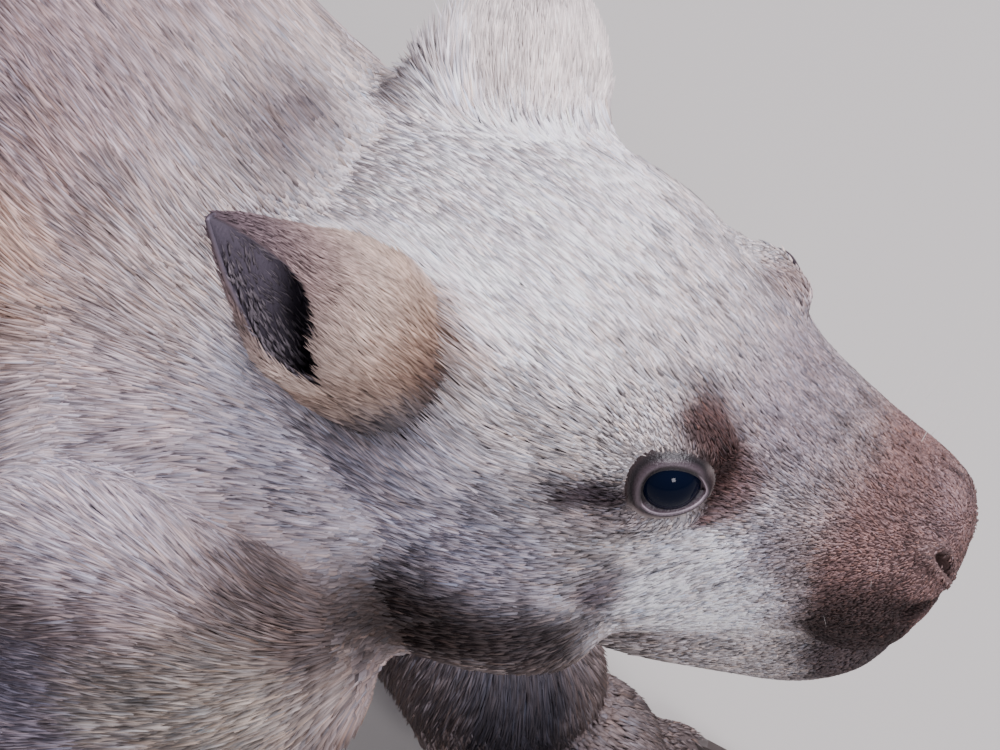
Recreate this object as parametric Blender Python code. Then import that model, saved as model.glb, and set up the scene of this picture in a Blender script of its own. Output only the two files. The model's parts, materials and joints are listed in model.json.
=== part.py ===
"""A southern hairy-nosed wombat, life size and still, standing with its head lowered.

Frame: +X is the way the animal faces, +Y is its left side and +Z is up. The origin is on the
floor, near the middle of the body. All sizes are in metres. The solids reach out to the tips
of the coat.
"""

import math

import bmesh
import bpy
import numpy as np
from mathutils import Matrix, Vector

# Driving sizes
GAP = 0.0003
WELD = 0.00002
TURN = 2 * math.pi
UNTURNED = Matrix.Identity(4)
SIDES = {"right": -1, "left": 1}

# Moves the whole, so that its box is centred on the origin
ROOT_PLACE = (0.01945, 0, 0)

# The head's own frame: its origin lies between the ear roots and x runs along the snout
HEAD_ORIGIN = Vector((0.270, 0, 0.262))
HEAD_PITCH = math.radians(5)
HEAD = Matrix.Translation(HEAD_ORIGIN) @ Matrix.Rotation(HEAD_PITCH, 4, "Y")

# Trunk and neck, as sections across X: place, half width, back height, belly height
TRUNK = (
    (-0.446, 0.030, 0.240, 0.180),
    (-0.434, 0.072, 0.282, 0.142),
    (-0.405, 0.104, 0.320, 0.114),
    (-0.350, 0.126, 0.350, 0.096),
    (-0.265, 0.139, 0.370, 0.084),
    (-0.160, 0.143, 0.375, 0.078),
    (-0.040, 0.140, 0.372, 0.080),
    (0.060, 0.134, 0.366, 0.090),
    (0.130, 0.122, 0.350, 0.102),
    (0.180, 0.109, 0.325, 0.110),
    (0.220, 0.097, 0.300, 0.118),
    (0.270, 0.082, 0.280, 0.136),
    (0.305, 0.064, 0.268, 0.154),
)
TRUNK_SQUARE = 2.2
HAUNCH = ((-0.285, 0.078, 0.205), (0.110, 0.076, 0.125))
SHOULDER = ((0.120, 0.072, 0.230), (0.080, 0.058, 0.095))
TAIL = (((-0.424, 0, 0.240), 0.026), ((-0.455, 0, 0.205), 0.016), ((-0.466, 0, 0.180), 0.009))

# Head, as sections across its own x: place, half width, crown height, lower height
SKULL = (
    (-0.058, 0.050, 0.016, -0.078),
    (-0.040, 0.070, 0.028, -0.094),
    (-0.010, 0.079, 0.036, -0.103),
    (0.025, 0.080, 0.037, -0.106),
    (0.055, 0.074, 0.030, -0.104),
    (0.085, 0.060, 0.016, -0.098),
    (0.110, 0.047, -0.002, -0.091),
    (0.133, 0.040, -0.016, -0.083),
    (0.151, 0.035, -0.025, -0.074),
    (0.162, 0.029, -0.032, -0.064),
    (0.168, 0.019, -0.040, -0.056),
)
SKULL_SQUARE = 2.25
JAW = (
    (-0.020, 0.044, -0.040, -0.112),
    (0.030, 0.052, -0.040, -0.118),
    (0.075, 0.045, -0.050, -0.117),
    (0.110, 0.037, -0.060, -0.113),
    (0.132, 0.032, -0.065, -0.108),
    (0.148, 0.024, -0.068, -0.099),
    (0.156, 0.012, -0.073, -0.090),
)

# Fleshy forms of the head, on both sides of it: centre and radii
CHEEK = ((0.022, 0.051, -0.068), (0.056, 0.034, 0.042))
BROW = ((0.076, 0.036, -0.001), (0.027, 0.015, 0.009))
WHISKER_PAD = ((0.140, 0.023, -0.056), (0.024, 0.018, 0.019))
EAR_FRONT = ((0.014, 0.045, 0.010), (0.030, 0.020, 0.020))
EAR_BACK = ((-0.026, 0.036, 0.006), (0.030, 0.022, 0.028))
# the raised left ear draws up a fold of furred skin behind its root
LEFT_EAR_FOLD = ((-0.026, 0.052, 0.020), (0.022, 0.021, 0.019))
NOSE = ((0.158, 0, -0.044), (0.012, 0.026, 0.017))
NOSTRIL = ((0.1675, 0.0165, -0.040), (0.007, 0.0021, 0.0062))
NOSTRIL_TILT = math.radians(18)

# Eye: the ball, the way it looks, the line of its slit, the lid's thickness, the slit's size
EYE = Vector((0.084, 0.0468, -0.0085))
EYE_RADIUS = 0.0103
EYE_AXIS = Vector((0.42, 0.86, 0.30))
EYE_SLIT = Vector((0.83, -0.49, 0.26))
LID = 0.0032
SLIT_HALF_LENGTH = 0.0095
SLIT_HALF_HEIGHT = 0.0066

# Mouth: an oval seen from above, as deep and wide as its slit
MOUTH_CENTRE = Vector((0.112, 0, 0))
MOUTH_RADII = (0.050, 0.037)
MOUTH_FRONT_HEIGHT = -0.0600
MOUTH_CORNER_HEIGHT = -0.0800
MOUTH_SLIT = 0.0014
MOUTH_SPREAD = math.radians(95)

# Ears: the way each leans and faces, and their sections along it
EAR_POSE = {
    "right": {"axis": Vector((-0.61, 0.33, 0.73)), "opening": Vector((0.22, 0.93, -0.28))},
    "left": {"axis": Vector((-0.22, 0.46, 0.86)), "opening": Vector((0.35, 0.88, -0.30))},
}
EAR_ROOT = Vector((-0.003, 0.056, 0.010))
EAR_LENGTH = 0.082
EAR_WALL = 0.0026

# Share of the ear's length, radius, half angle of the wall
EAR_ROWS = (
    (-0.30, 0.0215, 177),
    (0.00, 0.0230, 175),
    (0.15, 0.0240, 162),
    (0.35, 0.0225, 142),
    (0.55, 0.0176, 124),
    (0.70, 0.0132, 116),
    (0.84, 0.0087, 110),
    (0.94, 0.0050, 105),
    (1.00, 0.0022, 100),
)
EAR_FLOOR = -0.04
EAR_ROOM = 0.55
EAR_CLEAR = 0.0008

# Legs: the joints of each limb from the trunk down, as place and radius, on the left side
FORE_LIMB = (
    ((0.070, 0.070, 0.262), 0.056),
    ((0.232, 0.078, 0.166), 0.056),
    ((0.178, 0.104, 0.118), 0.050),
    ((0.222, 0.082, 0.048), 0.037),
)
HIND_LIMB = (
    ((-0.280, 0.070, 0.215), 0.096),
    ((-0.222, 0.104, 0.140), 0.070),
    ((-0.292, 0.104, 0.060), 0.040),
)

# How far each foot is set forward and outward of its place in the even stance
STEP = {
    "fore_right": (-0.036, 0.0),
    "fore_left": (0.048, -0.050),
    "hind_right": (0.020, 0.0),
    "hind_left": (-0.020, 0.0),
}
HIP_HEIGHT = 0.220
ANKLE_HEIGHT = 0.050

# Feet, in a frame on the floor under the last joint, x forward and y outward
FORE_FOOT = (
    ((0.020, 0, 0.022), (0.040, 0.034, 0.024)),
    ((0.034, 0, 0.010), (0.038, 0.036, 0.020)),
)
HIND_FOOT = (
    ((0.000, 0, 0.020), (0.030, 0.025, 0.026)),
    ((0.034, 0, 0.014), (0.052, 0.030, 0.020)),
    ((0.036, -0.026, 0.010), (0.018, 0.010, 0.011)),
)
TOE_RADII = (0.017, 0.0085, 0.0115)
TOE_SUNK = 0.003
FORE_TOES = {"count": 5, "reach": 0.060, "spread": 0.0135, "fan": math.radians(7)}
HIND_TOES = {"count": 4, "reach": 0.080, "spread": 0.0135, "fan": math.radians(5)}
TOE_IN = {"fore": math.radians(-6), "hind": math.radians(8)}

# Claw: length, half width and half height at the root, how far it bends down
CLAW = {"fore": (0.027, 0.0042, 0.0050), "hind": (0.021, 0.0038, 0.0044)}
CLAW_DROP = 0.38
CLAW_HEIGHT = 0.0115

# Where the upper legs part from the trunk: height, centre x and y, half length, half width
FORE_REGION = (
    (-0.010, 0.205, 0.100, 0.100, 0.070),
    (0.100, 0.200, 0.104, 0.096, 0.072),
    (0.165, 0.200, 0.106, 0.080, 0.066),
    (0.205, 0.194, 0.106, 0.056, 0.048),
    (0.222, 0.190, 0.106, 0.022, 0.020),
)
HIND_REGION = (
    (-0.010, -0.250, 0.112, 0.118, 0.070),
    (0.100, -0.250, 0.116, 0.116, 0.078),
    (0.175, -0.256, 0.120, 0.100, 0.074),
    (0.232, -0.262, 0.122, 0.066, 0.054),
    (0.256, -0.264, 0.122, 0.026, 0.022),
)
REGION_SQUARE = 2.8
TAIL_REGION = (
    (0.150, -0.480, 0, 0.030, 0.024),
    (0.195, -0.474, 0, 0.026, 0.026),
    (0.235, -0.462, 0, 0.026, 0.027),
    (0.262, -0.450, 0, 0.024, 0.018),
)

# Flat cuts: a point, and the way the cut faces
NECK_CUT = (Vector((0.205, 0, 0.292)), Vector((0.80, 0, 0.60)))
CHEST_CUT = (Vector((0.125, 0, 0.330)), Vector((0.94, 0, 0.34)))

# Triangles
WHOLE_TRIANGLES = 4600
HEAD_TRIANGLES = 2850
FOOT_TRIANGLES = 410


def clear_scene():
    for thing in list(bpy.data.objects):
        bpy.data.objects.remove(thing)


def finish(name, colour, roughness):
    """A plain material with the part's own colour."""
    material = bpy.data.materials.new(name)
    material.use_nodes = True
    shader = material.node_tree.nodes["Principled BSDF"]
    shader.inputs["Base Color"].default_value = (*colour, 1)
    shader.inputs["Roughness"].default_value = roughness
    shader.inputs["Metallic"].default_value = 0
    return material


def object_from(name, bm):
    mesh = bpy.data.meshes.new(name)
    bmesh.ops.triangulate(bm, faces=bm.faces)
    bmesh.ops.recalc_face_normals(bm, faces=bm.faces)
    bm.to_mesh(mesh)
    bm.free()
    thing = bpy.data.objects.new(name, mesh)
    bpy.context.scene.collection.objects.link(thing)
    return thing


def copy_of(thing, name):
    made = thing.copy()
    made.data = thing.data.copy()
    made.name = name
    bpy.context.scene.collection.objects.link(made)
    return made


def drop(*things):
    for thing in things:
        bpy.data.objects.remove(thing)


def mirrored(point, side):
    return Vector((point[0], point[1] * side, point[2]))


def smooth_rows(rows, steps):
    """The rows of numbers with steps rows for each span, on a smooth curve through them."""
    table = np.array(rows, float)
    ends = 2 * table[0] - table[1], 2 * table[-1] - table[-2]
    table = np.vstack([ends[0], table, ends[1]])
    made = []
    for a, b, c, d in zip(table, table[1:], table[2:], table[3:]):
        for t in np.arange(steps) / steps:
            straight = 2 * b + (c - a) * t
            bend = (2 * a - 5 * b + 4 * c - d) * t**2 + (3 * b - a - 3 * c + d) * t**3
            made.append((straight + bend) / 2)
    made.append(table[-2])
    return np.array(made)


def oval(count, half_width, half_height, square=2.0):
    """Points of a rounded outline. A square above 2 makes it fuller at its corners."""
    for k in range(count):
        c, s = math.cos(TURN * k / count), math.sin(TURN * k / count)
        yield (
            half_width * math.copysign(abs(c) ** (2 / square), c),
            half_height * math.copysign(abs(s) ** (2 / square), s),
        )


def add_rings(bm, rings, folded=False):
    """A closed tube through rings of points, with a flat face on each end.

    The halves of a folded ring lie side by side, and its ends close across them."""
    rows = [[bm.verts.new(point) for point in ring] for ring in rings]
    count = len(rows[0])
    for low, high in zip(rows, rows[1:]):
        for k in range(count):
            after = (k + 1) % count
            bm.faces.new((low[k], low[after], high[after], high[k]))
    for ring in (rows[0][::-1], rows[-1]):
        if not folded:
            bm.faces.new(ring)
            continue
        for k in range(count // 2 - 1):
            bm.faces.new((ring[k], ring[k + 1], ring[-k - 2], ring[-k - 1]))


def add_sections(bm, sections, square, frame=UNTURNED, points=40):
    """A body of rounded sections across x, each with its own width, top and bottom."""
    rings = []
    for x, half_width, top, bottom in smooth_rows(sections, 4):
        outline = oval(points, half_width, (top - bottom) / 2, square)
        middle = (top + bottom) / 2
        rings.append([frame @ Vector((x, y, middle + z)) for y, z in outline])
    add_rings(bm, rings)


def add_ball(bm, centre, radii, frame=UNTURNED, segments=20):
    """An ellipsoid along the frame's axes."""
    place = frame @ Matrix.Translation(Vector(centre)) @ Matrix.Diagonal((*radii, 1))
    bmesh.ops.create_uvsphere(
        bm, u_segments=segments, v_segments=segments // 2 + 2, radius=1, matrix=place
    )


def add_limb(bm, joints, points=20):
    """A limb: a ball at each joint, and a cone from each to the next."""
    for centre, radius in joints:
        add_ball(bm, centre, (radius, radius, radius), segments=points)
    for (low, low_radius), (high, high_radius) in zip(joints, joints[1:]):
        along = Vector(high) - Vector(low)
        turn = along.to_track_quat("Z", "Y").to_matrix().to_4x4()
        bmesh.ops.create_cone(
            bm,
            cap_ends=True,
            segments=points,
            radius1=low_radius,
            radius2=high_radius,
            depth=along.length,
            matrix=Matrix.Translation((Vector(low) + Vector(high)) / 2) @ turn,
        )


def settle(thing):
    """Applies the object's modifiers."""
    graph = bpy.context.evaluated_depsgraph_get()
    made = bpy.data.meshes.new_from_object(thing.evaluated_get(graph))
    thing.modifiers.clear()
    thing.data = made


def flesh(name, bm, voxel, rounds, triangles):
    """One closed skin round all the forms in bm, blended, in about so many triangles."""
    thing = object_from(name, bm)
    remesh = thing.modifiers.new("Remesh", "REMESH")
    remesh.mode = "VOXEL"
    remesh.voxel_size = voxel
    soften = thing.modifiers.new("Soften", "SMOOTH")
    soften.factor = 0.5
    soften.iterations = rounds
    settle(thing)
    reduce = thing.modifiers.new("Reduce", "DECIMATE")
    reduce.ratio = min(1, triangles / (2 * len(thing.data.polygons)))
    settle(thing)
    return thing


def mend(bm):
    """Welds the slivers that a cut leaves, and closes the pinholes between them."""
    bmesh.ops.remove_doubles(bm, verts=bm.verts, dist=WELD)
    bmesh.ops.dissolve_degenerate(bm, edges=bm.edges, dist=WELD / 4)
    loose = [edge for edge in bm.edges if not edge.link_faces]
    bmesh.ops.delete(bm, geom=loose, context="EDGES")
    rim = [edge for edge in bm.edges if edge.is_boundary]
    bmesh.ops.holes_fill(bm, edges=rim, sides=0)
    bmesh.ops.triangulate(bm, faces=[face for face in bm.faces if len(face.verts) > 3])


def keep_largest(thing):
    """Drops every loose scrap but the largest closed surface."""
    bm = bmesh.new()
    bm.from_mesh(thing.data)
    mend(bm)
    left, groups = set(bm.verts), []
    while left:
        seed = left.pop()
        group, edge = {seed}, [seed]
        while edge:
            for link in edge.pop().link_edges:
                for vert in link.verts:
                    if vert in left:
                        left.remove(vert)
                        group.add(vert)
                        edge.append(vert)
        groups.append(group)
    groups.sort(key=len)
    scraps = [vert for group in groups[:-1] for vert in group]
    bmesh.ops.delete(bm, geom=scraps, context="VERTS")
    bm.to_mesh(thing.data)
    bm.free()


def cut_flat(thing, point, normal):
    """Keeps what lies behind the plane, and closes the cut."""
    bm = bmesh.new()
    bm.from_mesh(thing.data)
    bmesh.ops.bisect_plane(
        bm,
        geom=bm.verts[:] + bm.edges[:] + bm.faces[:],
        dist=1e-7,
        plane_co=point,
        plane_no=normal,
        clear_outer=True,
    )
    bm.to_mesh(thing.data)
    bm.free()
    keep_largest(thing)


def part_at(thing, cut, keep_front):
    """Cuts at a plane, half a gap short of it, and keeps its front or its back."""
    point, normal = cut[0], cut[1].normalized()
    if keep_front:
        normal = -normal
    cut_flat(thing, point - normal * GAP / 2, normal)


def combine(thing, other, operation, solver="EXACT"):
    """A Boolean of thing with other, applied."""
    join = thing.modifiers.new("Join", "BOOLEAN")
    join.operation = operation
    join.object = other
    join.solver = solver
    settle(thing)
    keep_largest(thing)


def take_away(thing, bm):
    """Cuts the form in bm out of thing."""
    cutter = object_from("cutter", bm)
    combine(thing, cutter, "DIFFERENCE")
    drop(cutter)


def stepped(point, name):
    """The point on the named leg's own side, moved with its step more the lower it is."""
    side = SIDES[name.split("_")[1]]
    forward, outward = STEP[name]
    share = min(1, max(0, (HIP_HEIGHT - point[2]) / (HIP_HEIGHT - ANKLE_HEIGHT)))
    return mirrored((point[0] + forward * share, point[1] + outward * share, point[2]), side)


def limb_of(name):
    """The joints of the named leg."""
    joints = FORE_LIMB if name.startswith("fore") else HIND_LIMB
    return [(stepped(place, name), radius) for place, radius in joints]


def foot_frame(name):
    """The foot's frame: on the floor under its last joint, with y pointing outward."""
    end, side = name.split("_")
    ankle = limb_of(name)[-1][0]
    place = Matrix.Translation((ankle.x, ankle.y, 0))
    outward = Matrix.Diagonal((1, SIDES[side], 1, 1))
    return place @ Matrix.Rotation(SIDES[side] * TOE_IN[end], 4, "Z") @ outward


def toe_frames(name):
    """A frame on the floor under each toe's tip, x along the toe."""
    toes = FORE_TOES if name.startswith("fore") else HIND_TOES
    middle = (toes["count"] - 1) / 2
    for k in range(toes["count"]):
        off = k - middle
        reach = toes["reach"] * (1 - 0.035 * off * off)
        place = Matrix.Translation((reach, off * toes["spread"], 0))
        yield foot_frame(name) @ place @ Matrix.Rotation(off * toes["fan"], 4, "Z")


def add_body_forms(bm):
    add_sections(bm, TRUNK, TRUNK_SQUARE)
    add_sections(bm, SKULL, SKULL_SQUARE, HEAD)
    add_sections(bm, JAW, SKULL_SQUARE, HEAD)
    lid = EYE_RADIUS + LID
    for side in SIDES.values():
        for centre, radii in (CHEEK, BROW, WHISKER_PAD, EAR_FRONT, EAR_BACK):
            add_ball(bm, mirrored(centre, side), radii, HEAD)
        add_ball(bm, mirrored(EYE, side), (lid, lid, lid), HEAD)
        for centre, radii in (HAUNCH, SHOULDER):
            add_ball(bm, mirrored(centre, side), radii)
    add_ball(bm, *NOSE, HEAD)
    add_ball(bm, *LEFT_EAR_FOLD, HEAD)
    for name in STEP:
        add_limb(bm, limb_of(name))


def region_of(name, margin=0.0):
    """The room of an upper leg or of the tail, with a margin all round."""
    rows = {"fore": FORE_REGION, "hind": HIND_REGION, "tail": TAIL_REGION}[name.split("_")[0]]
    rings = []
    for z, x, y, half_length, half_width in rows:
        outline = oval(20, half_length + margin, half_width + margin, REGION_SQUARE)
        rings.append([Vector((x + a, y + b, z)) for a, b in outline])
    if name in STEP:
        rings = [[stepped(point, name) for point in ring] for ring in rings]
    for point in rings[-1]:
        point.z += margin
    bm = bmesh.new()
    add_rings(bm, rings)
    return object_from("region", bm)


def make_trunk():
    """The torso, the neck, the tail and the four upper legs, parted from one skin."""
    bm = bmesh.new()
    add_body_forms(bm)
    add_limb(bm, TAIL, 12)
    whole = flesh("whole", bm, 0.005, 10, WHOLE_TRIANGLES)

    legs = []
    for name in STEP:
        leg = copy_of(whole, "leg_" + name)
        region = region_of(name)
        combine(leg, region, "INTERSECT")
        drop(region)
        part_at(leg, (Vector((0, 0, ANKLE_HEIGHT)), Vector((0, 0, 1))), True)
        if name.startswith("fore"):
            part_at(leg, NECK_CUT, False)
        legs.append(leg)

    tail = copy_of(whole, "tail")
    region = region_of("tail")
    combine(tail, region, "INTERSECT")
    drop(region)
    neck = copy_of(whole, "neck")
    part_at(neck, NECK_CUT, False)
    part_at(neck, CHEST_CUT, True)
    torso = whole
    torso.name = "torso"
    part_at(torso, CHEST_CUT, False)
    for name in [*STEP, "tail"]:
        region = region_of(name, GAP)
        combine(torso, region, "DIFFERENCE")
        if name.startswith("fore"):
            combine(neck, region, "DIFFERENCE")
        drop(region)
    return [torso, neck, tail] + legs


def eye_frame(side_name):
    """The eye's frame: z is the way it looks, x runs along its slit."""
    side = SIDES[side_name]
    look = mirrored(EYE_AXIS, side).normalized()
    slit = mirrored(EYE_SLIT, side)
    slit = (slit - slit.dot(look) * look).normalized()
    turn = Matrix((slit, look.cross(slit), look)).transposed().to_4x4()
    return HEAD @ Matrix.Translation(mirrored(EYE, side)) @ turn


def add_slit(bm, frame, steps=6):
    """The opening between the lids: an almond, from the ball's middle outward."""
    outline = []
    for way in (1, -1):
        for k in range(steps):
            x = way * SLIT_HALF_LENGTH * (1 - 2 * k / steps)
            y = way * SLIT_HALF_HEIGHT * (1 - (x / SLIT_HALF_LENGTH) ** 2)
            outline.append((x, y))
    reach = EYE_RADIUS * 2
    add_rings(bm, [[frame @ Vector((x, y, z)) for x, y in outline] for z in (0, reach)])


def add_mouth(bm, steps=12):
    """The slit between the lips, round the front of the muzzle."""
    rings = []
    for k in range(steps + 1):
        turn = MOUTH_SPREAD * (2 * k / steps - 1)
        share = (turn / MOUTH_SPREAD) ** 2
        height = MOUTH_FRONT_HEIGHT + (MOUTH_CORNER_HEIGHT - MOUTH_FRONT_HEIGHT) * share
        out = Vector((MOUTH_RADII[0] * math.cos(turn), MOUTH_RADII[1] * math.sin(turn), 0))
        half = MOUTH_SLIT / 2 * (1 - 0.6 * share)
        ring = []
        for reach, lift in ((0.8, -half), (1.3, -half), (1.3, half), (0.8, half)):
            place = MOUTH_CENTRE + out * reach
            ring.append(HEAD @ Vector((place.x, place.y, height + lift)))
        rings.append(ring)
    add_rings(bm, rings)


def make_head():
    """The head, with its eye sockets, lids, nostrils and mouth."""
    bm = bmesh.new()
    add_body_forms(bm)
    head = flesh("head", bm, 0.0028, 12, HEAD_TRIANGLES * 6)
    part_at(head, NECK_CUT, True)
    reduce = head.modifiers.new("Reduce", "DECIMATE")
    reduce.ratio = HEAD_TRIANGLES / len(head.data.polygons)
    settle(head)
    part_at(head, NECK_CUT, True)
    around = EYE_RADIUS + GAP
    for side_name, side in SIDES.items():
        slit = bmesh.new()
        add_slit(slit, eye_frame(side_name))
        take_away(head, slit)
        socket = bmesh.new()
        add_ball(socket, (0, 0, 0), (around, around, around), eye_frame(side_name), 18)
        take_away(head, socket)
        nostril = bmesh.new()
        tilt = Matrix.Rotation(side * NOSTRIL_TILT, 4, "X")
        place = HEAD @ Matrix.Translation(mirrored(NOSTRIL[0], side)) @ tilt
        add_ball(nostril, (0, 0, 0), NOSTRIL[1], place, 8)
        take_away(head, nostril)
    mouth = bmesh.new()
    add_mouth(mouth)
    take_away(head, mouth)
    return head


def ear_frame(side_name):
    """The ear's own frame: z along it and x towards its opening."""
    side, pose = SIDES[side_name], EAR_POSE[side_name]
    along = mirrored(pose["axis"], side).normalized()
    opening = mirrored(pose["opening"], side)
    opening = (opening - opening.dot(along) * along).normalized()
    turn = Matrix((opening, along.cross(opening), along)).transposed().to_4x4()
    return HEAD @ Matrix.Translation(mirrored(EAR_ROOT, side)) @ turn


def add_ear(bm, frame, arc_points=8, row_steps=1):
    """A cup: the wall bends round the ear's axis and leaves its opening at +x."""
    rings = []
    for share, radius, angle in smooth_rows(EAR_ROWS, row_steps):
        wall = min(EAR_WALL, 0.7 * radius)
        turns = [math.radians(angle) * (2 * k / arc_points - 1) for k in range(arc_points + 1)]
        outline = [(radius, turn) for turn in turns]
        outline += [(radius - wall, turn) for turn in reversed(turns)]
        z = EAR_LENGTH * share
        rings.append([frame @ Vector((-r * math.cos(t), r * math.sin(t), z)) for r, t in outline])
    add_rings(bm, rings, folded=True)


def add_ear_core(bm, frame, grow, low, high, points=16):
    """The ear's round body without its hollow, between two shares of its length."""
    shares = [row[0] for row in EAR_ROWS]
    radii = [row[1] for row in EAR_ROWS]
    rings = []
    for share in (low, *[share for share in shares if low < share < high], high):
        radius = float(np.interp(share, shares, radii)) + grow
        z = EAR_LENGTH * share
        rings.append([frame @ Vector((x, y, z)) for x, y in oval(points, radius, radius)])
    add_rings(bm, rings)


def make_ear(side_name, head):
    """An ear: its cup and the core that closes it below, set in a room cut into the head."""
    frame = ear_frame(side_name)
    room = bmesh.new()
    low = EAR_ROWS[0][0]
    add_ear_core(room, frame, EAR_CLEAR, low - 0.02, EAR_ROOM)
    take_away(head, room)
    bm = bmesh.new()
    add_ear(bm, frame)
    ear = object_from("ear_" + side_name, bm)
    core = bmesh.new()
    add_ear_core(core, frame, -EAR_WALL / 2, low + 0.01, EAR_FLOOR)
    core = object_from("core", core)
    combine(ear, core, "UNION", "MANIFOLD")
    drop(core)
    return ear


def make_eye(side_name):
    bm = bmesh.new()
    add_ball(bm, (0, 0, 0), (EYE_RADIUS, EYE_RADIUS, EYE_RADIUS), UNTURNED, 16)
    eye = object_from("eye_" + side_name, bm)
    eye.matrix_world = eye_frame(side_name)
    return eye


def add_claw(bm, size, frame, margin=0.0, rows=4, points=6):
    """A claw from its root at the frame's origin, bending down to a blunt tip."""
    length, half_width, half_height = size
    rings = []
    for k in range(rows + 1):
        share = k / rows
        taper = 1 - 0.8 * share**1.4
        drop_down = CLAW_DROP * length * share**1.8
        outline = oval(points, half_width * taper + margin, half_height * taper + margin)
        x = length * share - margin * (k == 0) + margin * (k == rows)
        rings.append([frame @ Vector((x, y, z - drop_down)) for y, z in outline])
    add_rings(bm, rings)


def claw_frame(toe, size):
    """Where a claw starts: sunk in the toe's tip, above the floor."""
    return toe @ Matrix.Translation((-0.30 * size[0] + TOE_RADII[0], 0, CLAW_HEIGHT))


def make_foot(name):
    """A paw with its toes and flat sole, and its claws, each sunk in its toe."""
    end = name.split("_")[0]
    bm = bmesh.new()
    add_limb(bm, limb_of(name)[-2:])
    for centre, radii in FORE_FOOT if end == "fore" else HIND_FOOT:
        add_ball(bm, centre, radii, foot_frame(name))
    toes = list(toe_frames(name))
    for toe in toes:
        add_ball(bm, (0, 0, TOE_RADII[2] - TOE_SUNK), TOE_RADII, toe, 14)
    foot = flesh("paw_" + name, bm, 0.0022, 3, FOOT_TRIANGLES * 2)
    part_at(foot, (Vector((0, 0, ANKLE_HEIGHT)), Vector((0, 0, 1))), False)
    cut_flat(foot, Vector((0, 0, 0)), Vector((0, 0, -1)))
    reduce = foot.modifiers.new("Reduce", "DECIMATE")
    reduce.ratio = FOOT_TRIANGLES / len(foot.data.polygons)
    settle(foot)
    part_at(foot, (Vector((0, 0, ANKLE_HEIGHT)), Vector((0, 0, 1))), False)
    cut_flat(foot, Vector((0, 0, 0)), Vector((0, 0, -1)))
    claws = []
    for count, toe in enumerate(toes, 1):
        place = claw_frame(toe, CLAW[end])
        room = bmesh.new()
        add_claw(room, CLAW[end], place, GAP)
        take_away(foot, room)
        bm = bmesh.new()
        add_claw(bm, CLAW[end], UNTURNED)
        claw = object_from(f"claw_{name}_{count}", bm)
        claw.matrix_world = place
        claws.append(claw)
    return foot, claws


def build():
    clear_scene()
    coat = finish("coat", (0.42, 0.36, 0.33), 0.9)
    bare_skin = finish("bare_skin", (0.10, 0.09, 0.10), 0.7)
    horn = finish("horn", (0.10, 0.08, 0.07), 0.5)
    wet = finish("eye", (0.008, 0.008, 0.012), 0.1)

    made = [(thing, coat) for thing in make_trunk()]
    head = make_head()
    made.append((head, coat))
    for side_name in SIDES:
        made.append((make_ear(side_name, head), coat))
        made.append((make_eye(side_name), wet))
    for name in STEP:
        foot, claws = make_foot(name)
        made.append((foot, bare_skin))
        made += [(claw, horn) for claw in claws]

    root = bpy.data.objects.new("wombat", None)
    root.location = ROOT_PLACE
    bpy.context.scene.collection.objects.link(root)
    for thing, material in made:
        thing.data.materials.clear()
        thing.data.materials.append(material)
        thing.parent = root
        thing.data.shade_smooth()


build()
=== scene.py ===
# %% [markdown]
# # Dressing a still wombat: skin, eyes and coat
# The frame holds the plain solids of the animal. This lesson gives them a finished look. A skin
# takes the place of the parted solids, and tufts of fur are laid over it as real mesh.
# Everything is measured in metres, with +X the way the animal faces, +Y its left and +Z up.

# %% Load the frame
import json
import math
import bmesh
import bpy
import numpy as np
from mathutils import Matrix, Vector
from mathutils.bvhtree import BVHTree

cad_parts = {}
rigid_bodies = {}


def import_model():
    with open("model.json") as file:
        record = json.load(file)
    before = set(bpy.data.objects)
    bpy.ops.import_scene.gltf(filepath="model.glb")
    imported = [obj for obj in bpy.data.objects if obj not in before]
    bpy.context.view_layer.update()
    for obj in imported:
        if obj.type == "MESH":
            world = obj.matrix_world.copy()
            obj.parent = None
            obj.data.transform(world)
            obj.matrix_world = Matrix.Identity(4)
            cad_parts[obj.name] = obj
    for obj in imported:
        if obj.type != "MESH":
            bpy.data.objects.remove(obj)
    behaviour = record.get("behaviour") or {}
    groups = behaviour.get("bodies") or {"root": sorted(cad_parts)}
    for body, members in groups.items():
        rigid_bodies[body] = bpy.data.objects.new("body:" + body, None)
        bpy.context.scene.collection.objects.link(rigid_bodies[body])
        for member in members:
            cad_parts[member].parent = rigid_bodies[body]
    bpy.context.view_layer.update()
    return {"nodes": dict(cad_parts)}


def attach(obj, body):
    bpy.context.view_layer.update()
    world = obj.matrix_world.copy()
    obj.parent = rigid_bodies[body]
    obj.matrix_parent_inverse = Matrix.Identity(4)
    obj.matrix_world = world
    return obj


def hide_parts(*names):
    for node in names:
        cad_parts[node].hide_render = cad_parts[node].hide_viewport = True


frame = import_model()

print("solids in the frame:", len(frame["nodes"]))

# %% [markdown]
# ## Sizes
# A body can be sculpted by hand or described with numbers. Numbers are used here, because the
# skin has to lie just inside the solids. These are the sections and joints the solids were
# drawn from: the trunk as slices across the body, the head in a frame of its own.

# %% Sizes of the body
# a slice is x, half width, top and bottom, a ball its middle and radii, a joint its place and radius
TURN = 2 * math.pi
SIDES = {"right": -1, "left": 1}
NEAR, FAR = "right", "left"
ROOT_PLACE = Vector((0.01945, 0, 0))
HEAD_ORIGIN = Vector((0.270, 0, 0.262))
HEAD = Matrix.Translation(HEAD_ORIGIN) @ Matrix.Rotation(math.radians(5), 4, "Y")
HEAD_INVERSE = np.array(HEAD.inverted())

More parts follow.
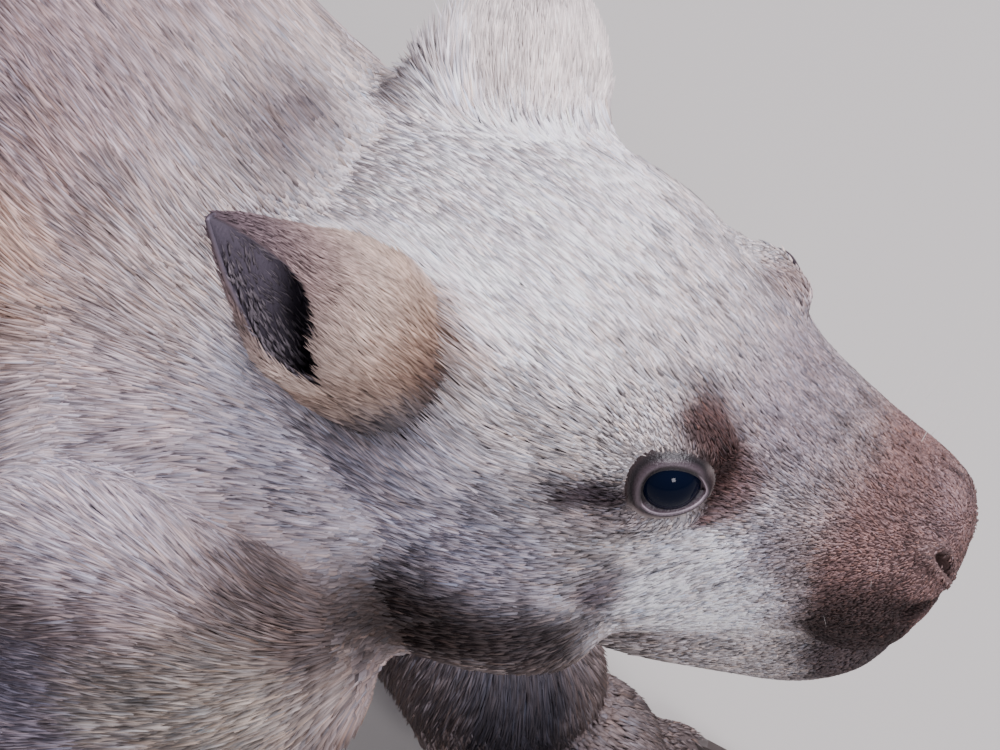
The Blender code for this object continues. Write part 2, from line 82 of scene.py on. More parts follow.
TRUNK = (
    (-0.446, 0.030, 0.240, 0.180),
    (-0.434, 0.072, 0.282, 0.142),
    (-0.405, 0.104, 0.320, 0.114),
    (-0.350, 0.126, 0.350, 0.096),
    (-0.265, 0.139, 0.370, 0.084),
    (-0.160, 0.143, 0.375, 0.078),
    (-0.040, 0.140, 0.372, 0.080),
    (0.060, 0.134, 0.366, 0.090),
    (0.130, 0.122, 0.350, 0.102),
    (0.180, 0.109, 0.325, 0.110),
    (0.220, 0.097, 0.300, 0.118),
    (0.270, 0.082, 0.280, 0.136),
    (0.305, 0.064, 0.268, 0.154),
)
HAUNCH = ((-0.285, 0.078, 0.205), (0.110, 0.076, 0.125))
SHOULDER = ((0.120, 0.072, 0.230), (0.080, 0.058, 0.095))
TAIL = (((-0.424, 0, 0.240), 0.026), ((-0.455, 0, 0.205), 0.016), ((-0.466, 0, 0.180), 0.009))
SKULL = (
    (-0.058, 0.050, 0.016, -0.078),
    (-0.040, 0.070, 0.028, -0.094),
    (-0.010, 0.079, 0.036, -0.103),
    (0.025, 0.080, 0.037, -0.106),
    (0.055, 0.074, 0.030, -0.104),
    (0.085, 0.060, 0.016, -0.098),
    (0.110, 0.047, -0.002, -0.091),
    (0.133, 0.040, -0.016, -0.083),
    (0.151, 0.035, -0.025, -0.074),
    (0.162, 0.029, -0.032, -0.064),
    (0.168, 0.019, -0.040, -0.056),
)
JAW = (
    (-0.020, 0.044, -0.040, -0.112),
    (0.030, 0.052, -0.040, -0.118),
    (0.075, 0.045, -0.050, -0.117),
    (0.110, 0.037, -0.060, -0.113),
    (0.132, 0.032, -0.065, -0.108),
    (0.148, 0.024, -0.068, -0.099),
    (0.156, 0.012, -0.073, -0.090),
)
CHEEK = ((0.022, 0.051, -0.068), (0.056, 0.034, 0.042))
BROW = ((0.076, 0.036, -0.001), (0.027, 0.015, 0.009))
WHISKER_PAD = ((0.140, 0.023, -0.056), (0.024, 0.018, 0.019))
EAR_FRONT = ((0.014, 0.045, 0.010), (0.030, 0.020, 0.020))
EAR_BACK = ((-0.026, 0.036, 0.006), (0.030, 0.022, 0.028))
NOSE = ((0.158, 0, -0.044), (0.012, 0.026, 0.017))
LEFT_EAR_FOLD = ((-0.026, 0.052, 0.020), (0.022, 0.021, 0.019))
print("trunk slices:", len(TRUNK), "head slices:", len(SKULL) + len(JAW))

# %% [markdown]
# The eyes, ears and legs have frames of their own. An eye looks out and a little up, an ear
# stands on its axis and opens to the side, and a leg is a chain of joints, each with a radius.

# %% Sizes of the eyes and ears
EYE = Vector((0.084, 0.0468, -0.0085))
EYE_RADIUS = 0.0103
EYE_AXIS = Vector((0.42, 0.86, 0.30))
EYE_SLIT = Vector((0.83, -0.49, 0.26))
LID = 0.0032
EAR_POSE = {
    "right": {"axis": Vector((-0.61, 0.33, 0.73)), "opening": Vector((0.22, 0.93, -0.28))},
    "left": {"axis": Vector((-0.22, 0.46, 0.86)), "opening": Vector((0.35, 0.88, -0.30))},
}
EAR_ROOT = Vector((-0.003, 0.056, 0.010))
EAR_LENGTH = 0.082
# share of the ear's length, and radius there
EAR_ROWS = (
    (-0.30, 0.0215),
    (0.00, 0.0230),
    (0.15, 0.0240),
    (0.35, 0.0225),
    (0.55, 0.0176),
    (0.70, 0.0132),
    (0.84, 0.0087),
    (0.94, 0.0050),
    (1.00, 0.0022),
)
print("ear length:", EAR_LENGTH, "eye across:", 2 * EYE_RADIUS)

# %% [markdown]
# The animal stands in mid step, so its four legs are one pair of chains, each moved by its own
# step. A paw is a few flat balls, with a ball for each toe.

# %% Sizes of the legs and paws
FORE_LIMB = (
    ((0.070, 0.070, 0.262), 0.056),
    ((0.232, 0.078, 0.166), 0.056),
    ((0.178, 0.104, 0.118), 0.050),
    ((0.222, 0.082, 0.048), 0.037),
)
HIND_LIMB = (
    ((-0.280, 0.070, 0.215), 0.096),
    ((-0.222, 0.104, 0.140), 0.070),
    ((-0.292, 0.104, 0.060), 0.040),
)
# how far each paw stands forward and outward of a square stance
STEP = {
    "fore_right": (-0.036, 0.0),
    "fore_left": (0.048, -0.050),
    "hind_right": (0.020, 0.0),
    "hind_left": (-0.020, 0.0),
}
HIP_HEIGHT = 0.220
ANKLE_HEIGHT = 0.050
FORE_FOOT = (
    ((0.020, 0, 0.022), (0.040, 0.034, 0.024)),
    ((0.034, 0, 0.010), (0.038, 0.036, 0.020)),
)
HIND_FOOT = (
    ((0.000, 0, 0.020), (0.030, 0.025, 0.026)),
    ((0.034, 0, 0.014), (0.052, 0.030, 0.020)),
    ((0.036, -0.026, 0.010), (0.018, 0.010, 0.011)),
)
TOE_RADII = (0.017, 0.0085, 0.0115)
TOE_SUNK = 0.003
FORE_TOES = {"count": 5, "reach": 0.060, "spread": 0.0135, "fan": math.radians(7)}
HIND_TOES = {"count": 4, "reach": 0.080, "spread": 0.0135, "fan": math.radians(5)}
TOE_IN = {"fore": math.radians(-6), "hind": math.radians(8)}
print("toes:", 2 * (FORE_TOES["count"] + HIND_TOES["count"]))

# %% [markdown]
# ## Forms
# Flesh is rounded and has no seams. Each form is a closed tube, ball or cone. They overlap, and
# a remesh then wraps one even net round all of them, which smoothing turns into flesh.

# %% Helpers for forms
def mirrored(point, side):
    return Vector((point[0], point[1] * side, point[2]))


def smooth_rows(rows, steps):
    """The rows with steps rows for each span, on a smooth curve through them."""
    table = np.array(rows, float)
    table = np.vstack([2 * table[0] - table[1], table, 2 * table[-1] - table[-2]])
    made = []
    for a, b, c, d in zip(table, table[1:], table[2:], table[3:]):
        for t in np.arange(steps) / steps:
            bend = (2 * a - 5 * b + 4 * c - d) * t**2 + (3 * b - a - 3 * c + d) * t**3
            made.append((2 * b + (c - a) * t + bend) / 2)
    made.append(table[-2])
    return np.array(made)


def oval(count, half_width, half_height, square=2.0):
    """Points of an oval, which gets squarer as square goes past 2."""
    for k in range(count):
        c, s = math.cos(TURN * k / count), math.sin(TURN * k / count)
        yield (
            half_width * math.copysign(abs(c) ** (2 / square), c),
            half_height * math.copysign(abs(s) ** (2 / square), s),
        )


def add_rings(bm, rings, folded=False):
    """A closed tube. The halves of a folded ring lie side by side and its ends close across."""
    rows = [[bm.verts.new(point) for point in ring] for ring in rings]
    count = len(rows[0])
    for low, high in zip(rows, rows[1:]):
        for k in range(count):
            after = (k + 1) % count
            bm.faces.new((low[k], low[after], high[after], high[k]))
    for ring in (rows[0][::-1], rows[-1]):
        if not folded:
            bm.faces.new(ring)
            continue
        for k in range(count // 2 - 1):
            bm.faces.new((ring[k], ring[k + 1], ring[-k - 2], ring[-k - 1]))


def add_sections(bm, sections, square, frame_of=Matrix.Identity(4), points=64):
    rings = []
    for x, half_width, top, bottom in smooth_rows(sections, 6):
        outline = oval(points, half_width, (top - bottom) / 2, square)
        middle = (top + bottom) / 2
        rings.append([frame_of @ Vector((x, y, middle + z)) for y, z in outline])
    add_rings(bm, rings)


print("tubes are ready")

# %% [markdown]
# Muscle is round, and a leg narrows from joint to joint. A ball at each joint and a cone between
# each pair give that with few numbers.

# %% Balls and limbs
def add_ball(bm, centre, radii, frame_of=Matrix.Identity(4), segments=32):
    place = frame_of @ Matrix.Translation(Vector(centre)) @ Matrix.Diagonal((*radii, 1))
    bmesh.ops.create_uvsphere(
        bm, u_segments=segments, v_segments=segments // 2 + 2, radius=1, matrix=place
    )


def add_limb(bm, joints, points=32):
    for centre, radius in joints:
        add_ball(bm, centre, (radius, radius, radius), segments=points)
    for (low, low_radius), (high, high_radius) in zip(joints, joints[1:]):
        along = Vector(high) - Vector(low)
        turn = along.to_track_quat("Z", "Y").to_matrix().to_4x4()
        bmesh.ops.create_cone(
            bm,
            cap_ends=True,
            segments=points,
            radius1=low_radius,
            radius2=high_radius,
            depth=along.length,
            matrix=Matrix.Translation((Vector(low) + Vector(high)) / 2) @ turn,
        )


def stepped(point, name):
    """The joint moved with its paw's step, fully at the ankle and not at all at the hip."""
    side = SIDES[name.split("_")[1]]
    forward, outward = STEP[name]
    share = min(1, max(0, (HIP_HEIGHT - point[2]) / (HIP_HEIGHT - ANKLE_HEIGHT)))
    return mirrored((point[0] + forward * share, point[1] + outward * share, point[2]), side)


def limb_of(name):
    """The joints of one leg, where this animal has them."""
    joints = FORE_LIMB if name.startswith("fore") else HIND_LIMB
    return [(stepped(place, name), radius) for place, radius in joints]


print("ankle of the near fore leg:", limb_of("fore_right")[-1][0])

# %% [markdown]
# A paw turns a little in or out on its ankle, and its toes fan out from its middle. Each gets a
# frame of its own, so that one description serves all four paws.

# %% Frames of the feet and toes
TOE_ARC = 0.035


def foot_frame(name):
    """On the floor under the ankle, x toward the toes and y outward."""
    end, side = name.split("_")
    ankle = limb_of(name)[-1][0]
    place = Matrix.Translation((ankle.x, ankle.y, 0))
    outward = Matrix.Diagonal((1, SIDES[side], 1, 1))
    return place @ Matrix.Rotation(SIDES[side] * TOE_IN[end], 4, "Z") @ outward


def toe_frames(name):
    toes = FORE_TOES if name.startswith("fore") else HIND_TOES
    middle = (toes["count"] - 1) / 2
    for k in range(toes["count"]):
        off = k - middle
        reach = toes["reach"] * (1 - TOE_ARC * off * off)
        place = Matrix.Translation((reach, off * toes["spread"], 0))
        yield foot_frame(name) @ place @ Matrix.Rotation(off * toes["fan"], 4, "Z")


print("toes of one fore paw:", len(list(toe_frames("fore_right"))))

# %% [markdown]
# All the forms of flesh but the tail, the ears and the toes are needed twice, for the skin of
# the body and for that of the head. So one function places them.

# %% Forms of the flesh
SQUARE_TRUNK, SQUARE_HEAD = 2.2, 2.25


def add_body_forms(bm):
    add_sections(bm, TRUNK, SQUARE_TRUNK)
    add_sections(bm, SKULL, SQUARE_HEAD, HEAD)
    add_sections(bm, JAW, SQUARE_HEAD, HEAD)
    lid = EYE_RADIUS + LID
    for side in SIDES.values():
        for centre, radii in (CHEEK, BROW, WHISKER_PAD, EAR_FRONT, EAR_BACK):
            add_ball(bm, mirrored(centre, side), radii, HEAD)
        add_ball(bm, mirrored(EYE, side), (lid, lid, lid), HEAD)
        for centre, radii in (HAUNCH, SHOULDER):
            add_ball(bm, mirrored(centre, side), radii)
    add_ball(bm, *NOSE, HEAD)
    add_ball(bm, *LEFT_EAR_FOLD, HEAD)
    for name in STEP:
        add_limb(bm, limb_of(name))


print("forms are ready to place")

# %% [markdown]
# ## Meshes as arrays
# Blender can move points one by one, which is slow in a net of this size. Handing all the points
# over as one array and back again is much faster, and the sums on them are then short.

# %% Helpers for meshes
def object_from(name, bm):
    mesh = bpy.data.meshes.new(name)
    bmesh.ops.recalc_face_normals(bm, faces=bm.faces)
    bm.to_mesh(mesh)
    bm.free()
    thing = bpy.data.objects.new(name, mesh)
    bpy.context.scene.collection.objects.link(thing)
    return thing


def settle(thing):
    graph = bpy.context.evaluated_depsgraph_get()
    made = bpy.data.meshes.new_from_object(thing.evaluated_get(graph))
    thing.modifiers.clear()
    thing.data = made


def wrapped(name, bm, voxel, rounds):
    """One even net round all the forms in bm, smoothed."""
    thing = object_from(name, bm)
    remesh = thing.modifiers.new("Remesh", "REMESH")
    remesh.mode = "VOXEL"
    remesh.voxel_size = voxel
    soften = thing.modifiers.new("Soften", "SMOOTH")
    soften.factor = 0.5
    soften.iterations = rounds
    settle(thing)
    return thing


def points_of(mesh):
    flat = np.empty(len(mesh.vertices) * 3)
    mesh.vertices.foreach_get("co", flat)
    return flat.reshape(-1, 3)


def normals_of(mesh):
    flat = np.empty(len(mesh.vertices) * 3)
    mesh.vertex_normals.foreach_get("vector", flat)
    return flat.reshape(-1, 3)


def set_points(mesh, points):
    mesh.vertices.foreach_set("co", points.ravel())
    mesh.update()


print("mesh helpers are ready")

# %% [markdown]
# The rest of the lesson blends one thing into another again and again: a soft step tells how much
# of each there is. Points of the head are turned into its own frame first, where sizes are plain.

# %% Helpers for points
def step_up(value, low, high):
    """A soft step from 0 to 1 between low and high."""
    share = np.clip((value - low) / (high - low), 0, 1)
    return share * share * (3 - 2 * share)


def blend(first, second, share):
    """The first where share is 0, the second where it is 1."""
    return first * (1 - share) + second * share


def unit(vectors):
    return vectors / np.maximum(np.linalg.norm(vectors, axis=1)[:, None], 1e-9)


def laid_flat(ways, normals):
    """The ways pressed flat on the skin, each one unit long."""
    return unit(ways - normals * np.sum(ways * normals, axis=1)[:, None])


def moved_by(matrix, points):
    matrix = np.array(matrix)
    return points @ matrix[:3, :3].T + matrix[:3, 3]


def in_head(points):
    """The points in the head's own frame."""
    return moved_by(HEAD_INVERSE, points)


def folded(points):
    """The points with the right side laid over the left."""
    return points * np.array([1, 0, 1]) + np.abs(points) * np.array([0, 1, 0])


print("head's origin in its own frame:", np.round(in_head(np.array([HEAD_ORIGIN])), 4)[0])

# %% [markdown]
# A coat wanders in tone and in the way it lies, with no hard steps. A grid of random values,
# blended smoothly from corner to corner, gives such a change at any size asked for.

# %% Smooth noise
def cell_code(cell):
    """One large number for each cell of a grid."""
    return cell[:, 0] * 73856093 ^ cell[:, 1] * 19349663 ^ cell[:, 2] * 83492791


def lattice(points, size, seed):
    """Smooth noise from -1 to 1 that changes over about the given size."""
    grid = points / size
    base = np.floor(grid).astype(np.int64)
    part = grid - base
    part = part * part * (3 - 2 * part)
    total = np.zeros(len(points))
    for corner in range(8):
        off = np.array([corner & 1, corner >> 1 & 1, corner >> 2 & 1])
        mixed = cell_code(base + off) ^ seed * 2654435
        mixed = (mixed ^ (mixed >> 13)) * 1274126177 & 0x7FFFFFFF
        value = (mixed >> 8 & 0xFFFF) / 32767.5 - 1
        weight = np.prod(np.where(off == 1, part, 1 - part), axis=1)
        total += weight * value
    return total


def wandering(points, size, seeds):
    """Three fields of smooth noise side by side, one for each axis."""
    return np.stack([lattice(points, size, seed) for seed in seeds], axis=1)


print("noise at the origin:", round(float(lattice(np.zeros((1, 3)), 0.01, 1)[0]), 3))

# %% [markdown]
# ## How deep the coat is
# Fur adds thickness. A wombat's coat is about a centimetre deep on the back, and almost nothing
# on the muzzle. The skin therefore lies that far inside the solids' surface, so that the hair
# tips and the solids have the same outline.

# %% Coat depth
# x in the head's frame, and the depth there
DEPTH_ALONG_HEAD = (
    (-0.08, 0.0085),
    (0.00, 0.0060),
    (0.05, 0.0045),
    (0.09, 0.0025),
    (0.12, 0.0012),
    (0.17, 0.0006),
)
THIN_DEPTH, FULL_DEPTH = 0.0035, 0.011
TAIL_START = -0.455
# the plane between the neck and the head
NECK_PLACE = np.array((0.205, 0, 0.292))
NECK_WAY = np.array((0.80, 0, 0.60))


def headness(points):
    """0 on the body and 1 on the head, with a soft change at the neck."""
    return step_up((points - NECK_PLACE) @ NECK_WAY, -0.03, 0.03)


def eye_distance(points):
    """How far each point is from the middle of the nearer eye."""
    head = in_head(points)
    head[:, 1] = np.abs(head[:, 1])
    return np.linalg.norm(head - np.array(EYE), axis=1)


def coat_depth(points):
    head = in_head(points)
    rows = np.array(DEPTH_ALONG_HEAD)
    on_head = np.interp(head[:, 0], rows[:, 0], rows[:, 1])
    on_head = on_head * (0.25 + 0.75 * step_up(eye_distance(points), 0.013, 0.026))
    on_body = THIN_DEPTH + (FULL_DEPTH - THIN_DEPTH) * step_up(points[:, 2], 0.05, 0.17)
    on_body = np.where(points[:, 0] < TAIL_START, THIN_DEPTH, on_body)
    return blend(on_body, on_head, headness(points))


print("depth on the back:", coat_depth(np.array([[-0.1, 0, 0.37]]))[0])

# %% [markdown]
# ## The skin of the body
# Real skin is one piece. A net of about three millimetres is fine enough where fur hides it.
# The head gets its own, finer net, and the two share the same surface where they meet.

# %% Skin of the trunk and legs
COARSE_NET, FINE_NET = 0.0034, 0.0017
bm = bmesh.new()
add_body_forms(bm)
add_limb(bm, TAIL, 24)
skin_body = wrapped("skin_body", bm, COARSE_NET, rounds=22)
print("faces in the first net:", len(skin_body.data.polygons))

# %% [markdown]
# Where the ball of a haunch or shoulder leaves the trunk, the net has a ridge that flesh doesn't
# have. Drawing each point toward the middle of its neighbours, many times over and only on the
# flank, levels the ridge and leaves the rest as it is.

# %% Level the flanks
def evened(mesh, share, rounds):
    """The points of the net, each drawn toward its neighbours as far as share says."""
    points = points_of(mesh)
    ends = np.empty(len(mesh.edges) * 2, dtype=np.int32)
    mesh.edges.foreach_get("vertices", ends)
    ends = ends.reshape(-1, 2)
    here = np.concatenate([ends[:, 0], ends[:, 1]])
    there = np.concatenate([ends[:, 1], ends[:, 0]])
    count = np.bincount(here, minlength=len(points))
    for _ in range(rounds):
        sums = [np.bincount(here, points[there, axis], len(points)) for axis in range(3)]
        middle = np.stack(sums, axis=1) / count[:, None]
        points += 0.5 * share[:, None] * (middle - points)
    return points


points = points_of(skin_body.data)
flank = step_up(points[:, 2], 0.12, 0.17) * step_up(np.abs(points[:, 1]), 0.05, 0.09)
flank *= step_up(points[:, 0], -0.34, -0.28) * (1 - step_up(points[:, 0], 0.11, 0.17))
set_points(skin_body.data, evened(skin_body.data, flank, rounds=110))
print("points on the flanks:", int(np.sum(flank > 0)))

# %% [markdown]
# The net still lies on the outline of the coat. It is moved inward along its normals by the depth
# of the hair, and cut at the neck and ankles, where the finer skins of the head and paws go on.

# %% Sink the skin by the coat's depth
# how far each skin runs on past the neck's plane and the ankle's height
NECK_OVERLAP, HEAD_OVERLAP = 0.012, 0.004
ANKLE_OVERLAP, PAW_OVERLAP = 0.004, 0.006


def sink_by_coat(thing):
    points = points_of(thing.data)
    normals = normals_of(thing.data)
    set_points(thing.data, points - normals * coat_depth(points)[:, None])


def cut_away(thing, point, normal):
    """Drops what lies in front of the plane. The cut is left open."""
    bm = bmesh.new()
    bm.from_mesh(thing.data)
    every = bm.verts[:] + bm.edges[:] + bm.faces[:]
    bmesh.ops.bisect_plane(bm, geom=every, plane_co=point, plane_no=normal, clear_outer=True)
    bm.to_mesh(thing.data)
    bm.free()


sink_by_coat(skin_body)
neck_way = Vector(NECK_WAY)
cut_away(skin_body, Vector(NECK_PLACE) + neck_way * NECK_OVERLAP, neck_way)
cut_away(skin_body, Vector((0, 0, ANKLE_HEIGHT - ANKLE_OVERLAP)), Vector((0, 0, -1)))
print("body skin faces:", len(skin_body.data.polygons))

# %% [markdown]
# The face is seen from close by and needs a net twice as fine. The same forms are wrapped once
# more and only the head is kept, so that both skins follow one surface at the neck.

# %% Skin of the head
bm = bmesh.new()
add_body_forms(bm)
skin_head = wrapped("skin_head", bm, FINE_NET, rounds=32)
cut_away(skin_head, Vector(NECK_PLACE) - neck_way * HEAD_OVERLAP, -neck_way)
sink_by_coat(skin_head)
print("head skin faces:", len(skin_head.data.polygons))

# %% [markdown]
# ## Eyes and lids
# An eye sits in its lids like a ball in a purse. The opening is an almond. Around it lies a
# moist rim, then the rounded lid, a crease and a fold that runs out into the face. The lids are
# made as rows of points that follow the almond, each row a little further out.

# %% Frames of the eyes
def eye_frame(side_name):
    """z is the way the eye looks, x runs forward along its slit and y is up."""
    side = SIDES[side_name]
    look = mirrored(EYE_AXIS, side).normalized()
    slit = mirrored(EYE_SLIT, side)
    slit = (slit - slit.dot(look) * look).normalized()
    up = look.cross(slit) * -side
    turn = Matrix((slit, up, look)).transposed().to_4x4()
    return HEAD @ Matrix.Translation(mirrored(EYE, side)) @ turn


print("right eye's middle:", np.round(np.array(eye_frame("right"))[:3, 3], 3))

# %% [markdown]
# The opening could be cut from a circle, but a wombat's is flatter below than above, and its two
# corners hang lower than its middle. So the upper and lower edge each get a curve of their own.
# Every point of the face can then be asked how far outside this edge it lies.

# %% The almond of the lids
SLIT_HALF = 0.0097
CORNER_DROP = 0.0043
UPPER_RISE = {"right": 0.0109, "left": 0.0078}
LOWER_FALL = 0.0046
CORNER_DEPTH = 0.0052
ALMOND_POINTS = 96
# the distance noted for points that are nowhere near an eye
FAR_AWAY = 0.1


def almond(count, side_name):
    """Points of the lids' edge, the outward way at each, and how much it is upper lid."""
    turns = TURN * np.arange(count) / count
    x = SLIT_HALF * np.cos(turns)
    sine = np.sin(turns)
    above = UPPER_RISE[side_name] * np.abs(sine) ** 0.86
    rise = np.where(sine > 0, above, -LOWER_FALL * np.abs(sine) ** 0.95)
    y = rise * (1 - 0.10 * x / SLIT_HALF) - CORNER_DROP + 0.0004 * (1 - x / SLIT_HALF)
    edge = np.stack([x, y], axis=1)
    along = np.roll(edge, -1, axis=0) - np.roll(edge, 1, axis=0)
    out = np.stack([along[:, 1], -along[:, 0]], axis=1)
    upper = step_up(sine - 0.28 * x / SLIT_HALF, -0.02, 0.42)
    return edge, out / np.linalg.norm(out, axis=1)[:, None], upper


def eye_local(points, side_name):
    """The points in one eye's frame, how far outside the lids each lies, its upper share."""
    local = moved_by(eye_frame(side_name).inverted(), points)
    away = np.full(len(points), FAR_AWAY)
    upper = np.zeros(len(points))
    near = np.nonzero((local[:, 2] > 0) & (np.linalg.norm(local, axis=1) < 0.030))[0]
    edge, out, edge_upper = almond(ALMOND_POINTS, side_name)
    gap = local[near, None, :2] - edge[None]
    which = np.argmin(np.sum(gap**2, axis=2), axis=1)
    gap = gap[np.arange(len(near)), which]
    sign = np.sign(np.sum(gap * out[which], axis=1))
    away[near] = np.linalg.norm(gap, axis=1) * sign
    upper[near] = edge_upper[which]
    return local, away, upper


near_edge = almond(ALMOND_POINTS, NEAR)[0]
print("top of the near lid's edge in mm:", round(1000 * float(near_edge[:, 1].max()), 1))

# %% [markdown]
# The eye region of a real head is a shallow hollow, with the lids standing in it. The skin there
# is drawn in along the way the eye looks, and sinks under the outer rows of the lids.

# %% Make room for the eyes
def shape_round_eyes(thing, change):
    """Moves the skin along the way each eye looks, by change(distance outside the lids)."""
    points = points_of(thing.data)
    for side_name in SIDES:
        local, away, _ = eye_local(points, side_name)
        near = away < FAR_AWAY
        local[near, 2] = change(local[near, 2], away[near])
        points = np.where(near[:, None], moved_by(eye_frame(side_name), local), points)
    set_points(thing.data, points)


def drawn_in(height, away):
    """The shallow hollow of the whole eye region."""
    return height - 0.0023 * (1 - step_up(away, 0.0005, 0.0100))


def under_lids(height, away):
    """The skin dips under the outer rows of the lids, and leaves the ball free."""
    sunk = height - 0.0013 * (1 - step_up(away, 0.0034, 0.0052))
    return np.where(away < 0.0016, np.minimum(sunk, 0.0040), sunk)


shape_round_eyes(skin_head, drawn_in)
plain_head = BVHTree.FromObject(skin_head, bpy.context.evaluated_depsgraph_get())
shape_round_eyes(skin_head, under_lids)
print("room made for", len(SIDES), "eyes")

# %% [markdown]
# The rim of the eye is moist and pale, the lid outside it dark and rounded, and a crease parts it
# from the fur. Each row of points below has its own place, height and colour for that.

# %% Rows of the lids
# outward reach on the upper and lower side, height over the ball, share of the face's surface
LID_ROWS = (
    (-0.0042, -0.0042, -0.0012, 0.0),
    (-0.0007, -0.0007, -0.0001, 0.0),
    (-0.0001, -0.0001, 0.0002, 0.0),
    (0.0002, 0.00015, 0.0004, 0.0),
    (0.0007, 0.00045, 0.0007, 0.0),
    (0.0013, 0.0008, 0.0010, 0.0),
    (0.0022, 0.0013, 0.0010, 0.15),
    (0.0028, 0.0019, 0.0003, 0.4),
    (0.0034, 0.0026, 0.0008, 0.9),
    (0.0043, 0.0035, 0.0008, 1.0),
    (0.0056, 0.0048, 0.0008, 1.0),
)
# how far each row lies under the face's surface, and its colour on the upper and lower lid
LID_SINK = (0, 0, 0, 0, 0, 0, 0, 0.0006, 0.0, 0.0002, 0.0014)
LID_UPPER = (
    # painted shade: the first row, under the ball, darkens the eye's corners
    (16, 12, 15),
    (24, 18, 22),
    (22, 16, 20),
    (28, 21, 25),
    (54, 44, 49),
    (78, 66, 71),
    (58, 47, 51),
    # painted shade in the upper crease
    (18, 13, 15),
    (26, 19, 20),
    (46, 35, 34),
    (70, 54, 50),
)
LID_LOWER = (
    # painted shade: the first row, under the ball, darkens the eye's corners
    (20, 15, 18),
    (46, 36, 42),
    (96, 80, 86),
    (196, 182, 188),
    (112, 96, 102),
    (34, 26, 30),
    (36, 28, 32),
    (58, 48, 50),
    (96, 84, 82),
    (136, 126, 122),
    (160, 148, 142),
)
print("rows of the lids:", len(LID_ROWS))

# %% [markdown]
# Colour is noted here in the numbers that a screen shows, from 0 to 255. Blender counts light
# instead, so each colour is turned into light, and stored on the mesh point by point.

# %% Colours on a mesh
def linear(colour):
    """Screen colour numbers from 0 to 255 as light."""
    value = np.asarray(colour, float) / 255
    return np.where(value <= 0.04045, value / 12.92, ((value + 0.055) / 1.055) ** 2.4)


def colour_mesh(mesh, colours, name="Coat"):
    """Stores one colour for each point."""
    layer = mesh.color_attributes.new(name, "FLOAT_COLOR", "POINT")
    four = np.ones((len(colours), 4), np.float32)
    four[:, :3] = colours
    layer.data.foreach_set("color", four.ravel())


print("mid grey as light:", round(float(linear(128)), 3))

# %% [markdown]
# Near the eye the rows follow the ball, and further out they blend into the face. A ray cast
# from outside onto the plain head tells where the face lies under each point.

# %% Lids
def lid_faces(count, side_name):
    """Faces between the rows, wound to look outward on either side."""
    faces = []
    for row in range(len(LID_ROWS) - 1):
        for k in range(count):
            after = (k + 1) % count
            low = row * count
            face = (low + k, low + after, low + count + after, low + count + k)
            faces.append(face if SIDES[side_name] < 0 else face[::-1])
    return faces


def make_lids(side_name, count=ALMOND_POINTS):
    place = eye_frame(side_name)
    back = place.inverted()
    edge, out, upper = almond(count, side_name)
    look = place.to_3x3() @ Vector((0, 0, 1))
    points, colours = [], []
    for k, (above, below, height, share) in enumerate(LID_ROWS):
        spread = blend(below, above, upper)
        flat = edge + out * spread[:, None]
        radius = EYE_RADIUS + height
        room = radius**2 - flat[:, 0] ** 2 - flat[:, 1] ** 2
        floor = CORNER_DEPTH + height - 0.0012 * (k < 2)
        depth = np.sqrt(np.maximum(room, 0) + floor**2 * (1 - step_up(room, 0, 2.2 * floor**2)))
        for (x, y), z, part in zip(flat, depth, upper):
            high = place @ Vector((x, y, 0.05))
            found = plain_head.ray_cast(high, -look, 0.08)[0]
            if share > 0 and found is not None:
                z = blend(z, (back @ found).z - LID_SINK[k], share)
            points.append(place @ Vector((x, y, z)))
            colours.append(blend(linear(LID_LOWER[k]), linear(LID_UPPER[k]), part))
    mesh = bpy.data.meshes.new("lids_" + side_name)
    mesh.from_pydata(points, [], lid_faces(count, side_name))
    colour_mesh(mesh, np.array(colours))
    thing = bpy.data.objects.new("lids_" + side_name, mesh)
    bpy.context.scene.collection.objects.link(thing)
    return thing


lids = [make_lids(side_name) for side_name in SIDES]
print("lid points each:", len(lids[0].data.vertices))

# %% [markdown]
# The ball behind the lids is a plain sphere. Its wet shine comes from its finish, further on.

# %% Eyeballs
def make_eyeball(side_name):
    bm = bmesh.new()
    add_ball(bm, (0, 0, 0), (EYE_RADIUS,) * 3, segments=64)
    ball = object_from("eyeball_" + side_name, bm)
    ball.data.transform(eye_frame(side_name))
    return ball


eyeballs = [make_eyeball(side_name) for side_name in SIDES]
print("eyeballs:", len(eyeballs))

# %% [markdown]
# ## Nostrils and mouth
# The broad snout ends in two comma-shaped nostrils. The mouth is a line that starts under them
# and runs back along the jaw, hidden by the lips. Both are pressed into the skin, after the net
# there has been made finer.

# %% Finer net on the snout
SNOUT_START = 0.125
# the line of the left lip, in the head's frame
MOUTH_LINE = smooth_rows(
    (
        (0.1690, 0.000, -0.0555),
        (0.1668, 0.015, -0.0530),
        (0.1650, 0.022, -0.0512),
        (0.1612, 0.029, -0.0500),
        (0.1560, 0.034, -0.0525),
        (0.1470, 0.038, -0.0600),
        (0.1340, 0.041, -0.0690),
        (0.1180, 0.044, -0.0760),
    ),
    8,
)


def finer(thing, chosen):
    """Splits the chosen faces once."""
    bm = bmesh.new()
    bm.from_mesh(thing.data)
    bm.faces.ensure_lookup_table()
    faces = [bm.faces[k] for k in np.nonzero(chosen)[0]]
    edges = list({edge for face in faces for edge in face.edges})
    bmesh.ops.subdivide_edges(bm, edges=edges, cuts=1, use_grid_fill=True)
    bm.to_mesh(thing.data)
    bm.free()


def face_centres(mesh):
    flat = np.empty(len(mesh.polygons) * 3)
    mesh.polygons.foreach_get("center", flat)
    return flat.reshape(-1, 3)


def laid_on_skin(line):
    """The line moved to the nearest skin, in the head's frame, on the left side."""
    laid = []
    for point in line:
        found = plain_head.find_nearest(HEAD @ Vector(point))[0]
        laid.append(HEAD.inverted() @ found)
    return np.array(laid)


MOUTH_LINE = laid_on_skin(MOUTH_LINE)
centres = in_head(face_centres(skin_head.data))
finer(skin_head, centres[:, 0] > SNOUT_START)
print("head skin faces:", len(skin_head.data.polygons))

